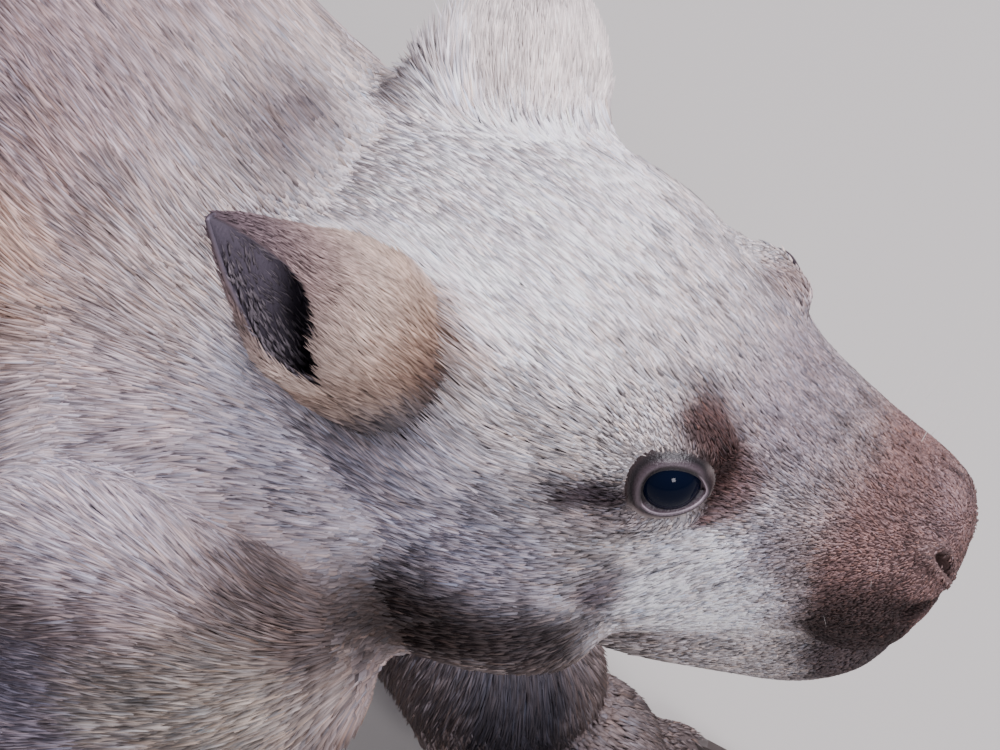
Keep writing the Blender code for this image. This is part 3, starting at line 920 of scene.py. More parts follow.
# %% [markdown]
# A crease is deepest on its line and fades to both sides, with the lip as a low swell beside it.
# The nostril is a comma, wider above than below. Both are told by a distance, which the colour
# and the coat ask for again later.

# %% Distance from the mouth and the nostrils
NOSTRIL = np.array((0.1670, 0.0142, -0.0410))
NOSTRIL_TILT = math.radians(22)


def line_distance(points, line):
    """Distance to a line of points on either side of the head, and the share along it."""
    left = folded(points)
    best = np.full(len(points), 1.0)
    share = np.zeros(len(points))
    for k, (a, b) in enumerate(zip(line, line[1:])):
        along = b - a
        t = np.clip((left - a) @ along / (along @ along), 0, 1)
        away = np.linalg.norm(left - a - t[:, None] * along, axis=1)
        closer = away < best
        best = np.where(closer, away, best)
        share = np.where(closer, (k + t) / (len(line) - 1), share)
    return best, share


def nostril_reach(head):
    """1 on the rim of the comma-shaped nostril, less inside it and more outside."""
    local = folded(head) - NOSTRIL
    sine, cosine = math.sin(NOSTRIL_TILT), math.cos(NOSTRIL_TILT)
    across = local[:, 1] * cosine - local[:, 2] * sine
    rise = local[:, 1] * sine + local[:, 2] * cosine
    reach = np.hypot(across / (0.0021 + 0.13 * np.maximum(rise, 0)), rise / 0.0066)
    return np.where(np.abs(local[:, 0]) < 0.012, reach, 9)


points = points_of(skin_head.data)
normals = normals_of(skin_head.data)
head = in_head(points)
away, share = line_distance(head, MOUTH_LINE)
print("points within 5 mm of the mouth:", int(np.sum(away < 0.005)))

# %% [markdown]
# Real nostrils are deep, but a dark hollow of six millimetres reads the same, and leaves the skin
# whole. The rim is raised a little, as gristle does it.

# %% Press in the nostrils and the mouth
open_mouth = 1 - 0.92 * step_up(share, 0.36, 0.54)
groove = np.exp(-((away / 0.0021) ** 2)) * open_mouth
lip = np.exp(-(((away - 0.0048) / 0.0022) ** 2)) * open_mouth
reach = nostril_reach(head)
hole = 1 - step_up(reach, 0.30, 1.05)
rim = np.exp(-(((reach - 1.55) / 0.42) ** 2))
press = -0.0062 * groove + 0.0010 * lip - 0.0060 * hole + 0.0010 * rim
set_points(skin_head.data, points + normals * press[:, None])
print("deepest press:", round(float(-press.min()), 4))

# %% [markdown]
# ## Ears
# A hairy-nosed wombat has long, pointed ears. Each is a cup: a thin wall of gristle that wraps
# round and opens to the side. It is made in rows along the ear, with an outer and an inner face.

# %% Frames of the ears
def ear_frame(side_name):
    """z runs along the ear, x is the way it opens."""
    side, pose = SIDES[side_name], EAR_POSE[side_name]
    along = mirrored(pose["axis"], side).normalized()
    opening = mirrored(pose["opening"], side)
    opening = (opening - opening.dot(along) * along).normalized()
    turn = Matrix((opening, along.cross(opening), along)).transposed().to_4x4()
    return HEAD @ Matrix.Translation(mirrored(EAR_ROOT, side)) @ turn


def ear_local(points, side_name):
    """The points in one ear's frame, and how far each lies from the ear's axis."""
    local = moved_by(ear_frame(side_name).inverted(), points)
    return local, np.hypot(local[:, 0], local[:, 1])


def along_ear(points, side_name):
    """0 at the root of the ear and 1 at its tip."""
    return ear_local(points, side_name)[0][:, 2] / EAR_LENGTH


print("right ear's root:", np.round(np.array(ear_frame("right"))[:3, 3], 3))

# %% [markdown]
# Near its root the wall closes almost to a tube, and higher up it opens to half a turn. Each row
# is laid along the outer face and back along the inner one, so the wall has a real thickness.

# %% Ears
# share of the ear's length and half angle of the wall, with the lower slit shut by its lips
EAR_SLIT = (
    (-0.3, 177),
    (0.15, 175),
    (0.25, 174),
    (0.35, 167),
    (0.45, 150),
    (0.55, 131),
    (0.7, 116),
    (0.84, 110),
    (1, 100),
)
EAR_FLARE = 0.17
EAR_WALL = 0.0017
EAR_SHAPE = smooth_rows(EAR_ROWS, 6)


def make_ear(side_name, arc_points=44):
    place = ear_frame(side_name)
    round_wall = np.linspace(-1, 1, arc_points + 1)
    rings, inner = [], []
    for share, radius in EAR_SHAPE:
        radius = radius - 0.0012 * (1 - step_up(share, 0.1, 0.8))
        wall = min(EAR_WALL, 0.6 * radius)
        angle = np.interp(share, *zip(*EAR_SLIT))
        turns = np.radians(angle) * round_wall
        fold = 1 + 0.035 * np.sin(turns * 2.3 + share * 5) * step_up(share, 0.05, 0.4)
        behind = step_up(round_wall * SIDES[side_name], 0.35, 1.0)
        fold = fold + EAR_FLARE * behind * step_up(share, 0.2, 0.5) * (1 - step_up(share, 0.7, 1))
        height = np.full(arc_points + 1, EAR_LENGTH * share)
        for reach, is_inner in ((radius * fold, 0), ((radius * fold - wall)[::-1], 1)):
            t = turns if not is_inner else turns[::-1]
            ring = np.stack([-reach * np.cos(t), reach * np.sin(t), height], axis=1)
            rings.append(moved_by(place, ring))
            inner.append(np.full(arc_points + 1, is_inner))
    loops = [np.vstack(pair) for pair in zip(rings[::2], rings[1::2])]
    bm = bmesh.new()
    add_rings(bm, [[Vector(point) for point in loop] for loop in loops], folded=True)
    ear = object_from("skin_ear_" + side_name, bm)
    return ear, np.concatenate(inner)


ears, ear_inner = [], []
for side_name in SIDES:
    ear, inner = make_ear(side_name)
    ears.append(ear)
    ear_inner.append(inner)
print("ear faces each:", len(ears[0].data.polygons))

# %% [markdown]
# The skin of the head runs on through the root of each ear, where it would show as a bulge in the
# cup. It could be cut out, but sinking it keeps it whole.

# %% Clear the ears' roots
def clear_ear_roots(thing):
    """Sinks the head's skin where it would show inside an ear's cup."""
    points = points_of(thing.data)
    for side_name in SIDES:
        local, reach = ear_local(points, side_name)
        inside = (reach < 0.0222) & (local[:, 2] > -0.012) & (local[:, 2] < 0.05)
        share = 1 - step_up(reach, 0.0195, 0.0222)
        local[:, 2] = np.where(inside, blend(local[:, 2], -0.014, share), local[:, 2])
        points = np.where(inside[:, None], moved_by(ear_frame(side_name), local), points)
    set_points(thing.data, points)


clear_ear_roots(skin_head)
print("head points:", len(skin_head.data.vertices))

# %% [markdown]
# ## Paws
# The paws are broad shovels with flat soles and thick toes. The same forms as the solids are
# wrapped in a finer net, and cut flat where they stand on the floor.

# %% Skin of the paws
SOLE_HEIGHT = 0.0004


def make_paw(name):
    end = name.split("_")[0]
    bm = bmesh.new()
    add_limb(bm, limb_of(name)[-2:])
    for centre, radii in FORE_FOOT if end == "fore" else HIND_FOOT:
        add_ball(bm, centre, radii, foot_frame(name))
    for toe in toe_frames(name):
        add_ball(bm, (0, 0, TOE_RADII[2] - TOE_SUNK), TOE_RADII, toe, 20)
    paw = wrapped("skin_paw_" + name, bm, FINE_NET, rounds=5)
    points = points_of(paw.data)
    normals = normals_of(paw.data)
    depth = 0.0006 + 0.0028 * step_up(points[:, 2], 0.022, 0.050)
    points = points - normals * depth[:, None]
    points[:, 2] = np.maximum(points[:, 2], SOLE_HEIGHT)
    set_points(paw.data, points)
    cut_away(paw, Vector((0, 0, ANKLE_HEIGHT + PAW_OVERLAP)), Vector((0, 0, 1)))
    return paw


paws = [make_paw(name) for name in STEP]
print("paw faces:", [len(paw.data.polygons) for paw in paws])

# %% [markdown]
# ## Markings
# The coat is silver grey, paler on the crown, with a white patch under each eye, a rusty patch
# over it and a brown snout. A picture could be wrapped round the body for this. Soft patches are
# used instead: each has a place, a size and a colour, and skin and coat both ask the same
# function, so they always agree. A later patch lies over an earlier one.

# %% Patches of the head
BOTH = "both"
# which sides, place and radii in the head's frame, colour, strength and how hard the edge is
HEAD_PATCHES = (
    # the pale crown, the forehead, the bridge of the snout and the brown nape, with painted shade of
    # its fold
    (BOTH, (0.018, 0.020, 0.034), (0.072, 0.064, 0.036), (250, 243, 245), 0.92, 0.35),
    (BOTH, (0.097, 0.012, 0.014), (0.036, 0.045, 0.022), (196, 186, 188), 0.60, 0.3),
    (BOTH, (0.112, 0.010, -0.010), (0.032, 0.044, 0.030), (132, 118, 124), 0.82, 0.2),
    (BOTH, (-0.054, 0.006, 0.034), (0.026, 0.038, 0.022), (108, 95, 97), 0.90, 0.2),
    # the white patch under the eye and the pale jaw
    (BOTH, (0.104, 0.050, -0.050), (0.036, 0.024, 0.033), (253, 250, 254), 0.97, 0.5),
    (BOTH, (0.080, 0.058, -0.080), (0.044, 0.030, 0.022), (222, 214, 214), 0.65, 0.3),
    # the grey cheek and the side of the snout
    (BOTH, (0.022, 0.078, -0.030), (0.055, 0.030, 0.040), (196, 190, 204), 0.60, 0.3),
    (BOTH, (0.046, 0.074, -0.050), (0.032, 0.024, 0.028), (166, 158, 172), 0.42, 0.3),
    (BOTH, (0.120, 0.043, -0.030), (0.014, 0.014, 0.014), (140, 128, 136), 0.65, 0.2),
    # the rusty and dark brow, over and before the eye
    (NEAR, (0.095, 0.037, 0.005), (0.0155, 0.018, 0.021), (82, 58, 54), 0.96, 0.4),
    (NEAR, (0.103, 0.040, -0.015), (0.0115, 0.014, 0.015), (112, 86, 84), 0.90, 0.3),
    (NEAR, (0.098, 0.041, -0.006), (0.0110, 0.015, 0.014), (66, 45, 42), 0.92, 0.35),
    (FAR, (0.094, 0.038, 0.000), (0.012, 0.014, 0.014), (140, 114, 106), 0.60, 0.2),
    # the red-brown corner of the eye and the dark band behind it
    (BOTH, (0.0995, 0.050, -0.0215), (0.0050, 0.007, 0.0045), (98, 58, 52), 0.95, 0.3),
    (BOTH, (0.0730, 0.0610, -0.0190), (0.0160, 0.012, 0.0080), (122, 106, 108), 0.60, 0.3),
    (BOTH, (0.0740, 0.0600, -0.0100), (0.0130, 0.012, 0.0070), (44, 33, 38), 0.96, 0.4),
    (BOTH, (0.0630, 0.0640, -0.0095), (0.0100, 0.012, 0.0060), (60, 49, 54), 0.70, 0.3),
    # the dark fleck under the eye, the brown lower cheek and painted shade along the jaw's lower
    # edge
    (BOTH, (0.0760, 0.065, -0.050), (0.0075, 0.014, 0.020), (74, 60, 70), 0.90, 0.2),
    (BOTH, (0.0700, 0.060, -0.084), (0.0500, 0.030, 0.013), (112, 92, 84), 0.75, 0.3),
    (BOTH, (0.0570, 0.070, -0.069), (0.0280, 0.022, 0.015), (64, 52, 50), 0.90, 0.35),
    # the shade under the ear and the rusty mark at its base
    (NEAR, (-0.002, 0.080, -0.006), (0.023, 0.018, 0.018), (92, 78, 74), 0.72, 0.3),
    (NEAR, (0.000, 0.083, -0.024), (0.028, 0.020, 0.012), (146, 138, 148), 0.50, 0.3),
    (NEAR, (0.010, 0.060, 0.022), (0.026, 0.020, 0.022), (166, 138, 118), 0.85, 0.3),
    (NEAR, (0.012, 0.063, 0.021), (0.017, 0.018, 0.021), (116, 86, 70), 0.88, 0.25),
    # the pale hair behind the ear, and two brown flecks on the crown
    (NEAR, (-0.030, 0.076, -0.006), (0.024, 0.016, 0.030), (194, 190, 202), 0.65, 0.3),
    (NEAR, (-0.040, 0.072, 0.004), (0.016, 0.014, 0.015), (212, 210, 220), 0.85, 0.3),
    (NEAR, (0.003, 0.004, 0.037), (0.0080, 0.0035, 0.008), (104, 82, 82), 0.70, 0.1),
    (NEAR, (0.014, 0.004, 0.037), (0.0060, 0.0025, 0.008), (128, 108, 106), 0.55, 0.1),
    # the brown snout, its paler top, the dark lip and the chin
    (BOTH, (0.158, 0.010, -0.042), (0.040, 0.060, 0.039), (130, 102, 97), 1.00, 0.60),
    (BOTH, (0.166, 0.008, -0.028), (0.014, 0.020, 0.010), (146, 122, 122), 0.45, 0.3),
    (BOTH, (0.149, 0.037, -0.058), (0.020, 0.024, 0.020), (58, 45, 42), 0.95, 0.6),
    (BOTH, (0.150, 0.018, -0.084), (0.024, 0.036, 0.028), (66, 54, 54), 0.96, 0.6),
    # the dark rear corner of the cheek, darker fur with painted shade of the fold at the neck
    (BOTH, (0.024, 0.084, -0.072), (0.038, 0.032, 0.028), (57, 46, 42), 0.96, 0.35),
    (BOTH, (-0.012, 0.100, -0.070), (0.030, 0.030, 0.016), (96, 82, 76), 0.60, 0.2),
)
print("patches of the head:", len(HEAD_PATCHES))

# %% [markdown]
# The shoulder and neck are brown and grey in broad areas, with shade where the leg begins. Their
# places are given in the world, since the body doesn't turn with the head.

# %% Patches of the body
# the same for the body, in the world
BODY_PATCHES = (
    # the grey shoulder and the brown nape
    (BOTH, (0.110, 0.120, 0.130), (0.090, 0.060, 0.048), (124, 120, 136), 0.62, 0.3),
    (BOTH, (0.165, 0.030, 0.315), (0.050, 0.060, 0.040), (146, 126, 132), 0.45, 0.2),
    (BOTH, (0.180, 0.134, 0.166), (0.046, 0.040, 0.030), (136, 134, 152), 0.66, 0.3),
    # the pale side of the neck, partly painted light on the hollow's shade, and the shade in front
    # of the leg
    (BOTH, (0.205, 0.104, 0.236), (0.060, 0.040, 0.046), (214, 203, 210), 0.75, 0.3),
    (BOTH, (0.292, 0.090, 0.184), (0.028, 0.030, 0.019), (62, 52, 48), 0.80, 0.25),
    # painted shade on the chest between the legs, and the pale inside of the far leg, partly painted
    # light
    (BOTH, (0.284, 0.008, 0.066), (0.028, 0.030, 0.040), (40, 40, 50), 0.95, 0.4),
    (BOTH, (0.313, 0.034, 0.060), (0.013, 0.022, 0.040), (162, 150, 148), 0.80, 0.3),
    # the cream and rusty hair of the upper shoulder, and the brown back
    (BOTH, (0.246, 0.122, 0.172), (0.052, 0.040, 0.022), (218, 207, 192), 0.80, 0.3),
    (NEAR, (0.150, 0.080, 0.290), (0.034, 0.040, 0.032), (186, 152, 130), 0.66, 0.2),
    (BOTH, (0.060, 0.050, 0.340), (0.180, 0.080, 0.050), (160, 139, 140), 0.74, 0.3),
    # the throat, the belly and the rump
    (BOTH, (0.262, 0.000, 0.110), (0.060, 0.090, 0.050), (120, 116, 124), 0.80, 0.3),
    (BOTH, (-0.100, 0.000, 0.080), (0.300, 0.130, 0.040), (136, 124, 122), 0.80, 0.3),
    (BOTH, (-0.430, 0.000, 0.200), (0.060, 0.090, 0.080), (146, 132, 126), 0.60, 0.3),
)
print("patches of the body:", len(BODY_PATCHES))

# %% [markdown]
# Each patch is laid over what is there already, as one would glaze a painting, full in its middle
# and fading at its edge. The edge wanders a little, since no marking on a coat is a clean oval.
# Last come the nostrils' pale rims, and painted shade by the eyes, in the nostrils, ear cups and
# mouth.

# %% Colour of the coat
BODY_GREY = (180, 162, 158)
HEAD_GREY = (192, 184, 181)
LEG_BROWN = (104, 92, 88)
NOSTRIL_RIM = (160, 134, 128)
NOSTRIL_PAINTED_SHADE = (62, 43, 39)
EYE_POCKET_SHADE = (20, 15, 18)
CUP_PAINTED_SHADE = (40, 36, 42)


def patch_share(points, sides, place, radii, edge):
    reach = np.linalg.norm((folded(points) - np.array(place)) / np.array(radii), axis=1)
    share = 1 - step_up(reach, edge, 1.25)
    if sides == BOTH:
        return share
    return share * step_up(points[:, 1] * SIDES[sides], -0.003, 0.003)


def glazed(colour, points, patches):
    for sides, place, radii, tone, strength, edge in patches:
        part = patch_share(points, sides, place, radii, edge) * strength
        colour = blend(colour, linear(tone), part[:, None])
    return colour


def coat_colour(points):
    """The coat's colour at each point, as light."""
    colour = blend(linear(BODY_GREY), linear(HEAD_GREY), headness(points)[:, None])
    low = (1 - step_up(points[:, 2], 0.02, 0.085))[:, None] * 0.75
    colour = blend(colour, linear(LEG_BROWN), low)
    wander = 0.0022 * lattice(points, 0.006, 3) + 0.0028 * lattice(points, 0.016, 4)
    wander = np.stack([wander, 0.6 * wander, 0.8 * wander], axis=1)
    colour = glazed(colour, points + 2 * wander, BODY_PATCHES)
    head = in_head(points)
    colour = glazed(colour, head + wander, HEAD_PATCHES)
    reach = nostril_reach(head)
    rim = (np.exp(-(((reach - 1.35) / 0.3) ** 2)) * 0.4)[:, None]
    colour = blend(colour, linear(NOSTRIL_RIM), rim)
    # painted shade inside each nostril
    colour = blend(colour, linear(NOSTRIL_PAINTED_SHADE), (1 - step_up(reach, 0.75, 1.15))[:, None])
    for side_name in SIDES:
        away = eye_local(points, side_name)[1]
        # painted shade: near-black skin within the lids' edge, as shade in the eye's corners
        colour = np.where((away < 0.0012)[:, None], linear(EYE_POCKET_SHADE), colour)
        local, reach = ear_local(points, side_name)
        # painted shade on the head's skin sunk at the bottom of each ear's cup
        cup = 1 - step_up(reach, 0.0205, 0.0225)
        cup = cup * (local[:, 2] > -0.03) * (local[:, 2] < 0.05)
        colour = blend(colour, linear(CUP_PAINTED_SHADE), cup[:, None])
    away, along = line_distance(head, MOUTH_LINE)
    # painted shade: the front of the mouth's line is made almost black
    mouth_shade = np.exp(-((away / 0.0040) ** 4)) * 0.99 * (1 - step_up(along, 0.34, 0.50))
    return colour * (1 - mouth_shade[:, None])


CROWN = np.array([[0.29, 0, 0.297]])
print("crown colour:", np.round(coat_colour(CROWN)[0], 3))

# %% [markdown]
# ## Materials
# Fur reflects softly and each lock has its own tone. The tone is stored on the mesh, so one
# material serves the whole coat. The eye is the opposite: dark, wet and almost a mirror.

# %% Materials
def material(name, roughness, shine=0.5, colour=(0.5, 0.5, 0.5), from_mesh=False):
    made = bpy.data.materials.new(name)
    made.use_nodes = True
    shader = made.node_tree.nodes["Principled BSDF"]
    shader.inputs["Roughness"].default_value = roughness
    shader.inputs["Specular IOR Level"].default_value = shine
    shader.inputs["Base Color"].default_value = (*colour, 1)
    if from_mesh:
        tone = made.node_tree.nodes.new("ShaderNodeVertexColor")
        tone.layer_name = "Coat"
        made.node_tree.links.new(tone.outputs["Color"], shader.inputs["Base Color"])
    return made


fur_stuff = material("fur", 0.62, 0.28, from_mesh=True)
skin_stuff = material("skin", 0.75, 0.25, from_mesh=True)
lid_stuff = material("lid skin", 0.38, from_mesh=True)
# the eye's base is near black, and its navy tint is a painted reflection of the sky
eye_stuff = material("wet eye", 0.05, 0.08, (0.0008, 0.0030, 0.0120))
whisker_stuff = material("whisker", 0.4, colour=(0.50, 0.46, 0.42))
claw_stuff = material("claw", 0.45, colour=(0.055, 0.042, 0.035))
print("materials:", len(bpy.data.materials))

# %% [markdown]
# Skin and horn aren't polished. A noise finer than a millimetre, used as a bump, breaks up the
# light on them, and costs no triangles.

# %% Fine grain of the skin
def add_grain(stuff, scale, strength):
    """A fine bump that breaks up the light."""
    nodes, links = stuff.node_tree.nodes, stuff.node_tree.links
    where = nodes.new("ShaderNodeTexCoord")
    noise = nodes.new("ShaderNodeTexNoise")
    noise.inputs["Scale"].default_value = scale
    noise.inputs["Detail"].default_value = 3
    bump = nodes.new("ShaderNodeBump")
    bump.inputs["Strength"].default_value = strength
    bump.inputs["Distance"].default_value = 0.001
    links.new(where.outputs["Object"], noise.inputs["Vector"])
    links.new(noise.outputs["Fac"], bump.inputs["Height"])
    links.new(bump.outputs["Normal"], nodes["Principled BSDF"].inputs["Normal"])


grain = ((skin_stuff, 900, 0.5), (lid_stuff, 1400, 0.35), (claw_stuff, 500, 0.3))
for stuff, scale, strength in grain:
    add_grain(stuff, scale, strength)
print("finishes with a grain:", len(grain))

# %% [markdown]
# ## The lie of the coat
# Hair doesn't stand anywhere: it lies, and the way it lies is the first thing the eye reads.
# It runs from the nose to the tail, climbs over the forehead, sweeps down over the cheek and
# falls down the legs. A direction is worked out for every point and pressed flat on the skin.

# %% Near the ears
def ear_nearness(points, side_name):
    """1 where the head's skin meets the root of an ear, 0 well away from it."""
    local, out = ear_local(points, side_name)
    return (1 - step_up(out, 0.026, 0.036)) * (1 - step_up(np.abs(local[:, 2]), 0.030, 0.045))


print("nearness of the crown to an ear:", round(float(ear_nearness(CROWN, "right")[0]), 3))

# %% [markdown]
# Each part of the animal has its own way for the hair, and one is blended into the next: the
# flank, the back, the cheek, the temple and the legs. Slow noise then keeps it from looking combed.

# %% Lie of the coat
# how far the coat runs forward, away from the middle line and up, on each part of the animal
FLANK_WAY = (-0.9, 0.18, -0.06)
REAR_FLANK_WAY = (-0.92, 0.15, -0.28)
CHEEK_WAY = (-0.86, 0.36, -0.34)
TEMPLE_WAY = (-0.93, 0.10, 0.24)
# and where it runs the same way on either side
CREST_WAY = np.array([-0.87, 0.24, 0.42])
BACK_WAY = np.array([-1.0, 0.0, -0.02])
LEG_WAY = np.array([-0.25, 0.0, -1.0])


def round_eyes_and_ears(way, points):
    """The coat parts round each eye and climbs each ear."""
    for side_name in SIDES:
        out = unit(points - np.array(eye_frame(side_name))[:3, 3])
        near = 0.55 * (1 - step_up(eye_distance(points), 0.012, 0.024))[:, None]
        near = near * (points[:, 1] * SIDES[side_name] > 0)[:, None]
        way = blend(way, out, near)
        near = ear_nearness(points, side_name)[:, None]
        way = blend(way, np.array(ear_frame(side_name))[:3, 2], near)
    return way


def lie_of_coat(points, normals):
    head = in_head(points)
    share = headness(points)[:, None]
    side = (points[:, 1] / (np.abs(points[:, 1]) + 0.02))[:, None]

    def by_side(way):
        forward, outward, up = way
        ones = np.ones_like(side)
        return np.hstack([forward * ones, outward * side, up * ones])

    top = step_up(normals[:, 2], 0.25, 0.85)[:, None]
    rear = step_up(-points[:, 0], -0.16, -0.06)[:, None]
    way = blend(by_side(FLANK_WAY), blend(CREST_WAY, BACK_WAY, rear), top)
    way = blend(way, by_side(REAR_FLANK_WAY), rear * (1 - top))
    below = step_up(-head[:, 2], 0.012, 0.040) * step_up(head[:, 0], 0.045, 0.085)
    way = blend(way, by_side(CHEEK_WAY), below[:, None] * share)
    middle = (1 - top[:, 0]) * (1 - below) * step_up(head[:, 2], -0.09, -0.03)
    way = blend(way, by_side(TEMPLE_WAY), middle[:, None] * share)
    leg = (1 - step_up(points[:, 2], 0.085, 0.165))[:, None] * (1 - share)
    way = blend(way, LEG_WAY, leg)
    way = round_eyes_and_ears(way, points)
    way = way + 0.10 * wandering(points, 0.035, (11, 12, 13))
    way = way + 0.16 * (1 - share) * wandering(points, 0.014, (14, 15, 16))
    return laid_flat(way, normals)


print("lie on the crown:", np.round(lie_of_coat(CROWN, np.array([[0.0, 0.0, 1.0]]))[0], 2))

# %% [markdown]
# ## Unwrapping the skin
# The tufts will share one flat map of the skin, so that each can find its own small patch of
# it. Projecting from a few sides and packing the islands gives every bit of skin its own room.

# %% Unwrap
def unwrap(thing):
    thing.data.uv_layers.new(name="OFBake")
    bpy.context.view_layer.objects.active = thing
    bpy.ops.object.select_all(action="DESELECT")
    thing.select_set(True)
    bpy.ops.object.mode_set(mode="EDIT")
    bpy.ops.mesh.select_all(action="SELECT")
    bpy.ops.uv.smart_project(angle_limit=math.radians(66), island_margin=0.002)
    bpy.ops.object.mode_set(mode="OBJECT")


for thing in [skin_body, skin_head, *ears, *paws]:
    unwrap(thing)
print("unwrapped", 2 + len(ears) + len(paws), "skins")

# %% [markdown]
# ## Sowing the roots
# Roots are scattered over the skin at random, more where the coat is fine and close to the
# viewer's eye, fewer and larger where it is long. A fixed seed gives the same coat each time.

# %% Skins ready for sowing
class Skin:
    """The triangles of a skin as arrays, for sowing."""

    def __init__(self, thing):
        mesh = thing.data
        mesh.calc_loop_triangles()
        count = len(mesh.loop_triangles)
        corners = np.empty(count * 3, np.int64)
        mesh.loop_triangles.foreach_get("vertices", corners)
        loops = np.empty(count * 3, np.int64)
        mesh.loop_triangles.foreach_get("loops", loops)
        flat = np.empty(len(mesh.loops) * 2)
        mesh.uv_layers["OFBake"].data.foreach_get("uv", flat)
        self.corners = corners.reshape(-1, 3)
        self.map = flat.reshape(-1, 2)[loops.reshape(-1, 3)]
        self.points = points_of(mesh)
        self.normals = normals_of(mesh)
        a, b, c = (self.points[self.corners[:, k]] for k in range(3))
        self.areas = np.linalg.norm(np.cross(b - a, c - a), axis=1) / 2
        self.centres = (a + b + c) / 3
        self.facing = unit(np.cross(b - a, c - a))


skins = {thing.name: Skin(thing) for thing in [skin_body, skin_head, *ears, *paws]}
print("skin area in m2:", round(sum(float(s.areas.sum()) for s in skins.values()), 3))

# %% [markdown]
# A triangle gets roots by its area, and chance decides about the last one, so that small triangles
# get their fair part. Each root lands at a random place in its triangle.

# %% Sow
SEED = 27
random = np.random.default_rng(SEED)


def varied(count):
    """A random factor for each lock, from 0.75 to 1.25."""
    return 0.75 + 0.5 * random.random(count)


def sow(skin, thickness):
    """Roots, normals and map places, with thickness(centres, facing) roots for each m2."""
    wanted = skin.areas * thickness(skin.centres, skin.facing)
    count = np.floor(wanted + random.random(len(wanted))).astype(int)
    chosen = np.repeat(np.arange(len(count)), count)
    a, b = random.random((2, len(chosen)))
    over = a + b > 1
    a, b = np.where(over, 1 - a, a), np.where(over, 1 - b, b)
    share = np.stack([1 - a - b, a, b], axis=1)[:, :, None]
    corners = skin.corners[chosen]
    roots = np.sum(skin.points[corners] * share, axis=1)
    normals = unit(np.sum(skin.normals[corners] * share, axis=1))
    places = np.sum(skin.map[chosen] * share, axis=1)
    return roots, normals, places


print("sowing starts from seed", SEED)

# %% [markdown]
# ## Growing a lock
# A lock is a tiny closed blade with four corners: a root under the skin, two sides where it is
# widest, and a tip. It rises from the skin, bends over and lies down along the coat. Near
# neighbours lean to a shared point, as damp or dirty hair does, which draws the coat into tufts.

# %% Draw locks together
def gathered(roots, tips, size, pull):
    """Draws the tips of neighbouring locks together."""
    cell = np.floor(roots / size + 0.35 * random.standard_normal(roots.shape)).astype(np.int64)
    where = np.unique(cell_code(cell), return_inverse=True)[1]
    count = np.bincount(where)
    middle = np.stack([np.bincount(where, tips[:, k]) / count for k in range(3)], axis=1)
    way = middle[where] - tips
    far = np.linalg.norm(way, axis=1)[:, None]
    return tips + way * pull * np.minimum(1, size / np.maximum(far, 1e-9))


def outside_ears(points, room):
    """Moves the points that would lie in an ear out to its furred wall."""
    for side_name in SIDES:
        local, out = ear_local(points, side_name)
        wall = np.interp(local[:, 2] / EAR_LENGTH, EAR_SHAPE[:, 0], EAR_SHAPE[:, 1]) + room
        within = (out < wall) & (local[:, 2] > -0.02) & (local[:, 2] < 0.06)
        local[within, :2] *= (wall / np.maximum(out, 1e-6))[within, None]
        points = np.where(within[:, None], moved_by(ear_frame(side_name), local), points)
    return points


print("rows of the ear's wall:", len(EAR_SHAPE))

# %% [markdown]
# A hair could be a tube, but four corners are the least that make a closed solid, and at this
# width no more can be seen. The blade is tilted at random, so that the light catches each anew.

# %% Shape the locks
def grow(roots, normals, ways, length, width, lift, rise, size, pull, by_ears=False):
    """Corners of the locks: (count, 4, 3). lift is the tip's height, rise the belly's."""
    across = np.cross(normals, ways)
    bend = (random.standard_normal(len(roots)) * 0.10)[:, None] * across
    tips = roots + ways * length[:, None] + normals * lift[:, None]
    tips = gathered(roots, tips + bend * length[:, None], size, pull)
    reach = tips - roots
    belly = roots + reach * 0.38 + normals * rise[:, None]
    if by_ears:
        room = 0.0003 + 0.0016 * random.random(len(roots))
        tips = outside_ears(tips, room)
        belly = outside_ears(belly, 0.7 * room)
    half = across * (width / 2)[:, None]
    tilt = normals * (width * 0.22 * random.choice([-1, 1], len(roots)))[:, None]
    base = roots - normals * (0.5 * width + 0.0003)[:, None] - ways * (0.04 * length)[:, None]
    return np.stack([base, belly - half - tilt, belly + half + tilt, tips], axis=1)


print("a lock has 4 corners and 4 faces")

# %% [markdown]
# Blender's own hair would look finer, but it isn't mesh and can't be handed on. So all locks of a
# part go into a few large meshes, written as arrays. Each lock is dark at its root and pale at
# its tip, and has a small patch of the skin's map, so that a texture can be baked for it.

# %% Turn locks into meshes
MOST_LOCKS = 45000
LOCK_FACES = np.array([[0, 1, 2], [1, 3, 2], [0, 3, 1], [0, 2, 3]])
# each lock is darker toward its root, as painted shade deep in the coat, and paler at its tip
LOCK_SHADE = np.array([0.50, 0.92, 0.92, 1.12])
LOCK_PATCH = np.array([[0.0, -0.0015], [-0.0012, 0.0], [0.0012, 0.0], [0.0, 0.0015]])
coat = []


